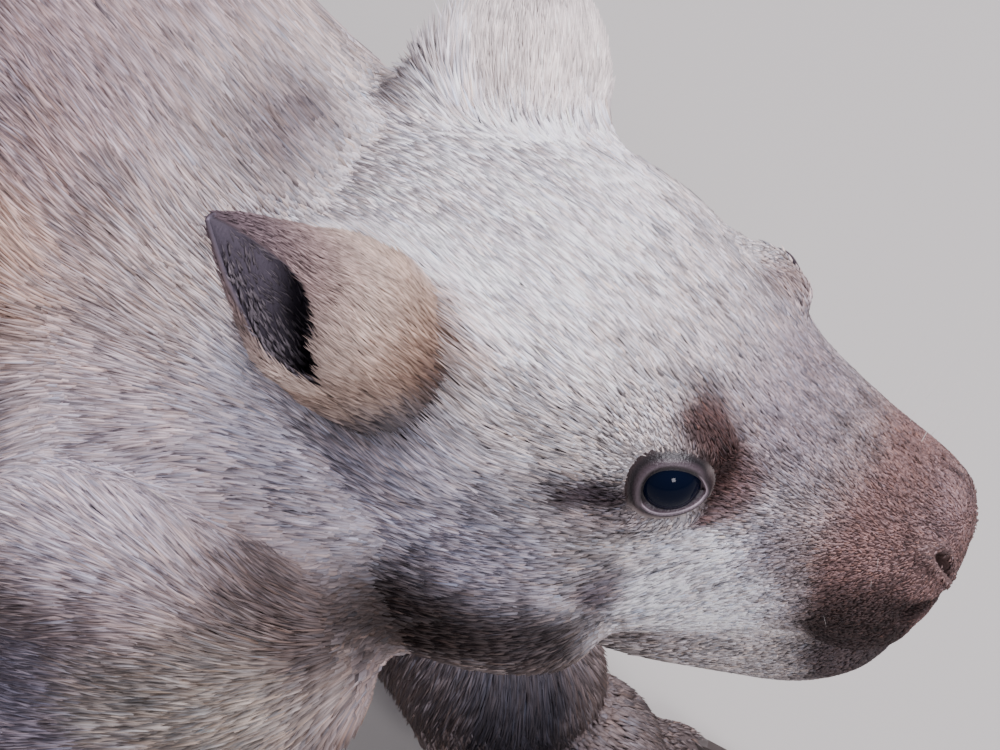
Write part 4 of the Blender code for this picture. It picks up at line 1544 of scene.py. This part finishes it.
def build_locks(name, corners, tones, places):
    """Adds the locks to the coat, in meshes of at most MOST_LOCKS each."""
    for part, start in enumerate(range(0, len(corners), MOST_LOCKS), 1):
        some = slice(start, start + MOST_LOCKS)
        block = corners[some]
        count = len(block)
        mesh = bpy.data.meshes.new(f"{name}_{part}")
        mesh.vertices.add(count * 4)
        mesh.vertices.foreach_set("co", block.reshape(-1))
        index = (np.arange(count)[:, None, None] * 4 + LOCK_FACES[None]).reshape(-1)
        mesh.loops.add(len(index))
        mesh.loops.foreach_set("vertex_index", index)
        mesh.polygons.add(count * 4)
        mesh.polygons.foreach_set("loop_start", np.arange(0, len(index), 3))
        mesh.polygons.foreach_set("loop_total", np.full(count * 4, 3))
        colour_mesh(mesh, (tones[some, None, :] * LOCK_SHADE[None, :, None]).reshape(-1, 3))
        layer = mesh.uv_layers.new(name="OFBake")
        spread = places[some, None, :] + LOCK_PATCH[None]
        layer.data.foreach_set("uv", spread.reshape(-1, 2)[index].ravel())
        mesh.update(calc_edges=True)
        mesh.materials.append(fur_stuff)
        thing = bpy.data.objects.new(mesh.name, mesh)
        bpy.context.scene.collection.objects.link(thing)
        coat.append(thing)


print("triangles of the largest coat piece:", MOST_LOCKS * len(LOCK_FACES))

# %% [markdown]
# No two locks are quite alike in tone. Each gets the coat's colour at its root, a random step
# up or down, dark and pale streaks that run along the body, and now and then a hair that is
# almost black or almost white.

# %% Tones of the locks
def tone_of(points, spread, patchy=1.0, pale=0.07, dark=0.07):
    """The coat's colour at each root, with the small differences between locks."""
    colour = coat_colour(points)
    count = len(points)
    level = 1 + spread * random.standard_normal(count)
    along = points * np.array([0.45, 1.0, 1.0])
    level += patchy * (0.12 * lattice(along, 0.0035, 21) + 0.10 * lattice(along, 0.014, 22))
    streak = step_up(lattice(along, 0.0060, 23) + 0.5 * lattice(along, 0.020, 24), 0.45, 1.0)
    level *= 1 - 0.30 * streak
    draw = random.random(count)
    level = np.where(draw < dark, level * 0.60, level)
    level = np.where(draw > 1 - pale, level * 1.28 + 0.04, level)
    warm = 1 + np.outer(0.045 * random.standard_normal(count), [1, 0, -1])
    return np.clip(colour * np.clip(level, 0.25, 1.7)[:, None] * warm, 0, 0.95)


print("skins to grow a coat on:", len(skins))

# %% [markdown]
# ## The coat of the head
# The finest hair grows here. It is shortest on the snout and round the eyes, and a centimetre
# long on the cheeks and nape. The lids, nostrils and the line of the mouth stay bare.

# %% Where no hair grows
def bare_share(points):
    """1 where no hair grows on the face."""
    bare = np.zeros(len(points))
    for side_name in SIDES:
        _, away, upper = eye_local(points, side_name)
        above = 0.0022 if side_name == NEAR else 0.0012
        bare = np.maximum(bare, away < blend(0.0011, above, upper))
        local, reach = ear_local(points, side_name)
        inside = (reach < 0.0228) & (local[:, 2] > -0.03) & (local[:, 2] < 0.05)
        bare = np.maximum(bare, inside)
    head = in_head(points)
    bare = np.maximum(bare, nostril_reach(head) < 1.10)
    away, share = line_distance(head, MOUTH_LINE)
    return np.maximum(bare, away < 0.0027 * (1 - step_up(share, 0.36, 0.52)))


print("bare share of the crown:", bare_share(CROWN)[0])

# %% [markdown]
# Locks are the costly part, so they are spent where they show. The side that the camera sees gets
# more than twice as many, and the short hair of the snout more again, each one finer.

QUICK = 1.0
# the way from the head to the camera, since the coat is finest on what it sees
CAMERA_WAY = np.array([0.274, -0.696, 0.664])


def seen_share(ways, low=-0.15, high=0.25):
    """0 where the skin faces away from the camera, 1 where it faces it."""
    return step_up(ways @ CAMERA_WAY, low, high)


def head_thickness(centres, facing):
    snout = step_up(in_head(centres)[:, 0], 0.09, 0.135)
    fine = 1.10e6 + 1.1e6 * snout
    plain = 0.42e6 + 0.5e6 * snout
    amount = plain + (fine - plain) * seen_share(facing)
    behind = (centres - NECK_PLACE) @ NECK_WAY < 0
    return QUICK * amount * (1 - bare_share(centres)) * (1 - behind)


roots, normals, places = sow(skins["skin_head"], head_thickness)
print("roots on the head:", len(roots))

# %% [markdown]
# The hair of the head starts from the general lie of the coat. Two places differ. The brow over
# the far eye hangs over it, and the hair round the ears' roots stands up beside them.

# %% Lie and length of the head's hair
head = in_head(roots)
ways = lie_of_coat(roots, normals)
_, away, upper = eye_local(roots, FAR)
brow = upper * (1 - step_up(away, 0.0035, 0.0070))
to_eye = unit(np.array(eye_frame(FAR))[:3, 3] - roots)
ways = laid_flat(blend(ways, to_eye, brow[:, None]), normals)
depth = coat_depth(roots)
# x in the head's frame, and the length of the hair there
HAIR_ALONG_HEAD = (
    (-0.06, 0.0150),
    (0.02, 0.0125),
    (0.07, 0.0095),
    (0.11, 0.0062),
    (0.135, 0.0032),
    (0.17, 0.0022),
)
length = np.interp(head[:, 0], *zip(*HAIR_ALONG_HEAD))
length *= 0.38 + 0.62 * step_up(eye_distance(roots), 0.013, 0.026)
by_ear = np.maximum(ear_nearness(roots, "right"), ear_nearness(roots, "left"))
axes = [np.array(ear_frame(side_name))[:3, 2] for side_name in SIDES]
upright = np.clip(np.where(roots[:, 1] < 0, normals @ axes[0], normals @ axes[1]), 0, 1)
length += 0.0075 * by_ear
stand = 0.75 * by_ear * length * upright
length *= 1 - 0.55 * by_ear * upright**2
length *= varied(len(roots))
print("longest hair of the head in mm:", round(1000 * float(length.max()), 1))

# %% [markdown]
# Width and lift come last. A lock is finer where the hair is short, and broader on the far side,
# where fewer of them have to cover the skin.

# %% Head coat
width = np.interp(head[:, 0], [0.0, 0.10, 0.14], [0.00082, 0.00066, 0.00052])
width = width * (1.45 - 0.45 * seen_share(normals))
width *= varied(len(roots))
length += 0.0030 * brow
lift = depth * (0.35 + 0.45 * random.random(len(roots))) + stand + 0.0022 * brow
rise = depth * 0.30 + 0.0002
corners = grow(roots, normals, ways, length, width, lift, rise, 0.0042, 0.34, by_ears=True)
speckled = step_up(head[:, 0], 0.02, 0.09)
tones = tone_of(roots, 0.18 + 0.05 * speckled, 1.5 + 1.0 * speckled, dark=0.08 + 0.12 * speckled)
build_locks("coat_head", corners, tones, places)
print("locks on the head:", len(roots), "in", len(coat), "pieces")

# %% [markdown]
# ## The coat of the body
# Behind the head the hair is longer. It is sown finely on the neck and shoulder, where the
# viewer stands close, and in broader locks on the rest of the trunk and legs.

# %% How thickly the body is sown
def closeness(points):
    """1 on the near side of the neck and shoulder, 0 on the rest of the body."""
    front = step_up(points[:, 0], -0.04, 0.12)
    near = step_up(-points[:, 1], -0.085, -0.045)
    far_leg = 0.6 * step_up(points[:, 0], 0.17, 0.20) * (points[:, 2] < 0.17)
    return np.maximum(front * near * step_up(points[:, 2], 0.085, 0.125), far_leg)


def close_and_seen(points, ways):
    return closeness(points) * seen_share(ways, -0.2, 0.15)


def body_thickness(centres, facing):
    behind = (centres - NECK_PLACE) @ NECK_WAY < 0.003
    return QUICK * (0.20e6 + 0.88e6 * close_and_seen(centres, facing)) * behind


roots, normals, places = sow(skins["skin_body"], body_thickness)
print("roots on the body:", len(roots))

# %% [markdown]
# Hair on the trunk lies in broad overlapping locks, with the neck and near shoulder as fine as the
# cheek, so that no seam shows where head and body meet.

# %% Body coat
ways = lie_of_coat(roots, normals)
depth = coat_depth(roots)
close = close_and_seen(roots, normals)
length = blend(0.022, 0.0195, close)
length *= (0.55 + 0.45 * depth / FULL_DEPTH) * varied(len(roots))
width = blend(0.0022, 0.00092, close) * (0.7 + 0.6 * random.random(len(roots)))
width *= 0.6 + 0.4 * depth / FULL_DEPTH
lift = depth * (0.30 + 0.50 * random.random(len(roots)))
rise = depth * 0.32 + 0.0003
corners = grow(roots, normals, ways, length, width, lift, rise, 0.0055, 0.36)
LOCK_SPREAD = 0.13
tones = tone_of(roots, LOCK_SPREAD)
build_locks("coat_body", corners, tones, places)
print("locks on the body:", len(roots), "pieces now", len(coat))

# %% [markdown]
# ## The coat of the paws
# Paws carry short, harsh hair that points down to the toes and leaves the soles bare.

# %% Paw coat
PAW_WAY = np.array([0.55, 0.0, -0.85])


def paw_thickness(centres, facing):
    above_sole = step_up(centres[:, 2], 0.010, 0.020)
    return QUICK * 0.45e6 * above_sole * step_up(facing[:, 2] + 0.6, 0.2, 0.7)


for name, paw in zip(STEP, paws):
    roots, normals, places = sow(skins[paw.name], paw_thickness)
    ways = laid_flat(np.tile(PAW_WAY, (len(roots), 1)), normals)
    high = step_up(roots[:, 2], 0.02, 0.05)
    length = (0.0042 + 0.0060 * high) * varied(len(roots))
    width = (0.0010 + 0.0009 * high) * varied(len(roots))
    lift = 0.0010 + 0.0015 * high
    corners = grow(roots, normals, ways, length, width, lift, lift * 0.4, 0.004, 0.3)
    build_locks("coat_paw_" + name, corners, tone_of(roots, LOCK_SPREAD), places)
print("pieces with the paws:", len(coat))

# %% [markdown]
# ## The coat of the ears
# The back of the ear is covered in short hair that thins out toward a mauve tip. The cup is dark
# skin with a thin growth of fine, pale hairs.

# %% Colour of the ears
FAR_EAR = (226, 218, 214)
CUP_SKIN = (116, 108, 120)
CUP_HAIR = (150, 140, 146)
# share of the ear's length, and the colour of its back there
EAR_OUTER = (
    (0.0, (160, 132, 112)),
    (0.30, (202, 180, 166)),
    (0.55, (156, 134, 128)),
    (0.8, (124, 106, 108)),
    (1.0, (84, 70, 76)),
)


def ear_tone(share, points):
    rows = np.array([[place, *linear(tone)] for place, tone in EAR_OUTER])
    tone = np.stack([np.interp(share, rows[:, 0], rows[:, k]) for k in (1, 2, 3)], axis=1)
    root = (1 - step_up(share, -0.12, 0.16))[:, None]
    far = 0.8 * step_up(points[:, 1], 0, 0.02)[:, None] * (1 - step_up(share, 0.5, 0.9))[:, None]
    return blend(blend(tone, linear(FAR_EAR), far), coat_colour(points), root)


def ear_skin_colour(side_name, points, inner):
    share = along_ear(points, side_name)
    # the skin under the ear's hair is painted darker, as shade between the locks
    outside = ear_tone(share, points) * 0.8
    # the cup's skin is darker toward the root, as painted shade deep in the cup
    hollow = linear(CUP_SKIN)[None] * (0.45 + 0.65 * step_up(share, 0.20, 0.62))[:, None]
    return np.where(inner[:, None] == 1, hollow, outside)


for side_name, ear, inner in zip(SIDES, ears, ear_inner):
    colour_mesh(ear.data, ear_skin_colour(side_name, points_of(ear.data), inner))
print("ears coloured:", len(ears))

# %% [markdown]
# The hair runs up the ear from its root, long at first and then like velvet. Only the outer face
# of the wall is sown here.

# %% Hair on the back of an ear
def furred_back(side_name, skin, centre_inner):
    """Short hair that runs up the ear. centre_inner is 1 for the faces of the cup."""

    def thickness(centres, facing):
        along = along_ear(centres, side_name)
        amount = 1.5e6 * (1 - 0.75 * step_up(along, 0.35, 0.95))
        return QUICK * amount * (centre_inner < 0.3) * (along > -0.12) * (along < 0.985)

    roots, normals, places = sow(skin, thickness)
    axis = np.array(ear_frame(side_name))[:3, 2]
    ways = laid_flat(axis[None] + 0.12 * wandering(roots, 0.01, (31, 32, 33)), normals)
    along = along_ear(roots, side_name)
    length = np.interp(along, [0, 0.3, 0.7, 1.0], [0.0135, 0.0115, 0.0062, 0.0030])
    length *= varied(len(roots))
    width = np.interp(along, [0, 0.5, 1.0], [0.0008, 0.0006, 0.00045])
    lift = np.interp(along, [0, 0.3, 0.7, 1.0], [0.0030, 0.0018, 0.0009, 0.0004])
    lift *= 0.6 + 0.8 * random.random(len(roots))
    corners = grow(roots, normals, ways, length, width, lift, lift * 0.4, 0.003, 0.3)
    level = 1 + 0.19 * random.standard_normal(len(roots)) + 0.22 * lattice(roots, 0.0045, 37)
    tones = np.clip(ear_tone(along, roots) * level[:, None], 0, 0.95)
    build_locks("coat_ear_" + side_name, corners, tones, places)
    return len(roots)


print("ear hair is ready to grow")

# %% [markdown]
# A few fine hairs break the dark of the cup, as they do in life. They are thin and lie loosely.

# %% Hair in the cup of an ear
def haired_cup(side_name, skin, centre_inner):
    """Fine hairs on the inner face, none at the root and none at the tip."""

    def thickness(centres, facing):
        along = along_ear(centres, side_name)
        return QUICK * 0.20e6 * (centre_inner > 0.9) * (along > 0.15) * (along < 0.80)

    roots, normals, places = sow(skin, thickness)
    axis = np.array(ear_frame(side_name))[:3, 2]
    ways = laid_flat(axis[None] + 0.30 * wandering(roots, 0.006, (34, 35, 36)), normals)
    length = 0.0050 + 0.0035 * random.random(len(roots))
    width = np.full(len(roots), 0.00034)
    lift = 0.0008 + 0.0014 * random.random(len(roots))
    corners = grow(roots, normals, ways, length, width, lift, lift * 0.4, 0.003, 0.2)
    tones = linear(CUP_HAIR) * (0.55 + 0.6 * random.random(len(roots)))[:, None]
    build_locks("coat_cup_" + side_name, corners, tones, places)
    return len(roots)


for side_name, ear, inner in zip(SIDES, ears, ear_inner):
    skin = skins[ear.name]
    centre_inner = inner[skin.corners].mean(axis=1)
    back_count = furred_back(side_name, skin, centre_inner)
    cup_count = haired_cup(side_name, skin, centre_inner)
    print("locks on the", side_name, "ear:", back_count, "in its cup:", cup_count)
print("pieces with the ears:", len(coat))

# %% [markdown]
# ## Dressing the skins
# The skin shows between the locks, darker than they are, since little light gets down there. Each
# skin then takes the place of the plain solids that it covers.

# %% Dress the skins
SKIN_DIM, PAW_DIM = 0.62, 0.5


def dress(thing, stuff, nodes, dim=SKIN_DIM):
    if thing.name.startswith("skin") and "ear" not in thing.name:
        colour_mesh(thing.data, coat_colour(points_of(thing.data)) * dim)
    thing.data.materials.clear()
    thing.data.materials.append(stuff)
    thing.data.shade_smooth()
    if nodes:
        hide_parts(*nodes)


dress(skin_body, skin_stuff, ["torso", "neck", "tail", *("leg_" + name for name in STEP)])
dress(skin_head, skin_stuff, ["head"])
for side_name, ear, lid, ball in zip(SIDES, ears, lids, eyeballs):
    dress(ear, skin_stuff, ["ear_" + side_name])
    dress(lid, lid_stuff, [])
    dress(ball, eye_stuff, ["eye_" + side_name])
for name, paw in zip(STEP, paws):
    dress(paw, skin_stuff, ["paw_" + name], PAW_DIM)
print("skins are dressed")

# %% [markdown]
# ## Whiskers
# Stiff, pale whiskers stand out from both sides of the snout. Each is a thin tube that tapers
# and bends a little. On the near side, which the photograph shows, only a few short ones stand.

# %% Whiskers
WHISKERS = {
    "right": {"count": 4, "length": (0.005, 0.010)},
    "left": {"count": 26, "length": (0.026, 0.052)},
}
WHISKER_TURNS = (0.0, 2.1, 4.2)


def add_whisker(bm, root, way, length, thick, droop, steps=9):
    way = way.normalized()
    side = way.cross(Vector((0, 0, 1))).normalized()
    up = side.cross(way)
    rings = []
    for k in range(steps + 1):
        share = k / steps
        centre = root + way * length * share - Vector((0, 0, 1)) * droop * length * share**2
        half = thick / 2 * (1 - 0.85 * share)
        rings.append(
            [centre + (side * math.cos(t) + up * math.sin(t)) * half for t in WHISKER_TURNS]
        )
    add_rings(bm, rings)


WHISKER_SEED = 5
dice = np.random.default_rng(WHISKER_SEED)
bm = bmesh.new()
tree = BVHTree.FromObject(skin_head, bpy.context.evaluated_depsgraph_get())
planted = 0
for side_name, side in SIDES.items():
    for _ in range(WHISKERS[side_name]["count"]):
        forward, high = dice.uniform(0.118, 0.146), dice.uniform(-0.062, -0.030)
        inside = HEAD @ Vector((forward, 0.004 * side, high))
        out = HEAD.to_3x3() @ Vector((dice.uniform(0.0, 0.5), side, dice.uniform(-0.3, 0.5)))
        out.normalize()
        root = tree.ray_cast(inside, out, 0.1)[0]
        if root is None:
            continue
        length = dice.uniform(*WHISKERS[side_name]["length"])
        thick = dice.uniform(0.00012, 0.00020)
        add_whisker(bm, root - out * 0.001, out, length, thick, dice.uniform(-0.15, 0.15))
        planted += 1
whiskers = object_from("whiskers", bm)
whiskers.data.materials.append(whisker_stuff)
print("whiskers:", planted)

# %% [markdown]
# ## Claws
# The digging claws keep their place and shape from the solids. They only get a worn, horny
# finish.

# %% Claws
claws = [node for name, node in frame["nodes"].items() if name.startswith("claw")]
for claw in claws:
    claw.data.materials.clear()
    claw.data.materials.append(claw_stuff)
print("claws:", len(claws))

# %% [markdown]
# ## One place for all
# All pieces were made in the frame that their sizes were drawn in. The finished frame stands a
# little further forward, so each piece is moved by the same step and then rides on the root.

# %% Put every piece in its place
made = [skin_body, skin_head, *ears, *paws, *lids, *eyeballs, whiskers, *coat]
for thing in made:
    thing.location = ROOT_PLACE
bpy.context.view_layer.update()
for thing in made:
    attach(thing, "root")
triangles = sum(sum(len(p.vertices) - 2 for p in t.data.polygons) for t in made if t not in coat)
coat_triangles = sum(len(t.data.polygons) for t in coat)
print("triangles in the skins:", triangles, "in the coat:", coat_triangles)

# %% [markdown]
# ## Floor, light and camera
# The animal stands on a plain pale floor in soft studio light. The camera looks down on the
# right side of the head from a little in front, close enough for the face to fill the picture.

# %% Floor
bpy.ops.mesh.primitive_plane_add(size=14, location=(0, 0, 0))
floor = bpy.context.object
floor.name = "floor"
floor.data.materials.append(material("floor", 0.8, colour=(0.50, 0.485, 0.445)))
print("floor in m:", floor.dimensions[0])

# %% [markdown]
# Two large soft lamps stand for an overcast sky: one high up, the other lower at the right. The
# surroundings add an even, slightly violet light, as in open shade.

# %% Light
world = bpy.data.worlds.new("studio")
world.use_nodes = True
background = world.node_tree.nodes["Background"]
background.inputs["Color"].default_value = (0.90, 0.87, 1.06, 1)
background.inputs["Strength"].default_value = 0.55
bpy.context.scene.world = world


def add_light(name, place, target, size, power, colour):
    lamp = bpy.data.lights.new(name, "AREA")
    lamp.size = size
    lamp.energy = power
    lamp.color = colour
    thing = bpy.data.objects.new(name, lamp)
    thing.location = place
    way = Vector(target) - Vector(place)
    thing.rotation_euler = way.to_track_quat("-Z", "Y").to_euler()
    bpy.context.scene.collection.objects.link(thing)


HEAD_MIDDLE = (0.25, 0, 0.2)
add_light("soft top", (0.5, 0.5, 2.2), HEAD_MIDDLE, 1.2, 67, (1.0, 0.955, 1.035))
add_light("soft side", (1.5, -1.6, 1.3), HEAD_MIDDLE, 0.45, 25, (1.0, 0.965, 1.05))

# %% [markdown]
# The camera was fitted to the photograph: its azimuth, height and distance, and its focal length
# and sideways shift in pixels of a picture 1000 wide. Blender wants these in mm and as shares.

# %% Camera
AZIMUTH, ELEVATION, DISTANCE = math.radians(21.5), math.radians(41.6), 1.25
FOCAL, SIDE_STEP, UP_STEP = 4040.0, 32.2, -103.5
SENSOR, PICTURE_WIDTH = 36, 1000
back = Vector(
    (
        math.sin(AZIMUTH) * math.cos(ELEVATION),
        -math.cos(AZIMUTH) * math.cos(ELEVATION),
        math.sin(ELEVATION),
    )
)
right = Vector((math.cos(AZIMUTH), math.sin(AZIMUTH), 0))
up = back.cross(right)
camera_data = bpy.data.cameras.new("camera")
camera_data.sensor_width = SENSOR
camera_data.lens = SENSOR * FOCAL / PICTURE_WIDTH
camera_data.shift_x = SIDE_STEP / PICTURE_WIDTH
camera_data.shift_y = UP_STEP / PICTURE_WIDTH
camera = bpy.data.objects.new("camera", camera_data)
turn = Matrix((right, up, back)).transposed().to_4x4()
camera.matrix_world = Matrix.Translation(HEAD_ORIGIN + ROOT_PLACE + back * DISTANCE) @ turn
bpy.context.scene.collection.objects.link(camera)
bpy.context.scene.camera = camera
print("lens in mm:", round(camera_data.lens, 1))
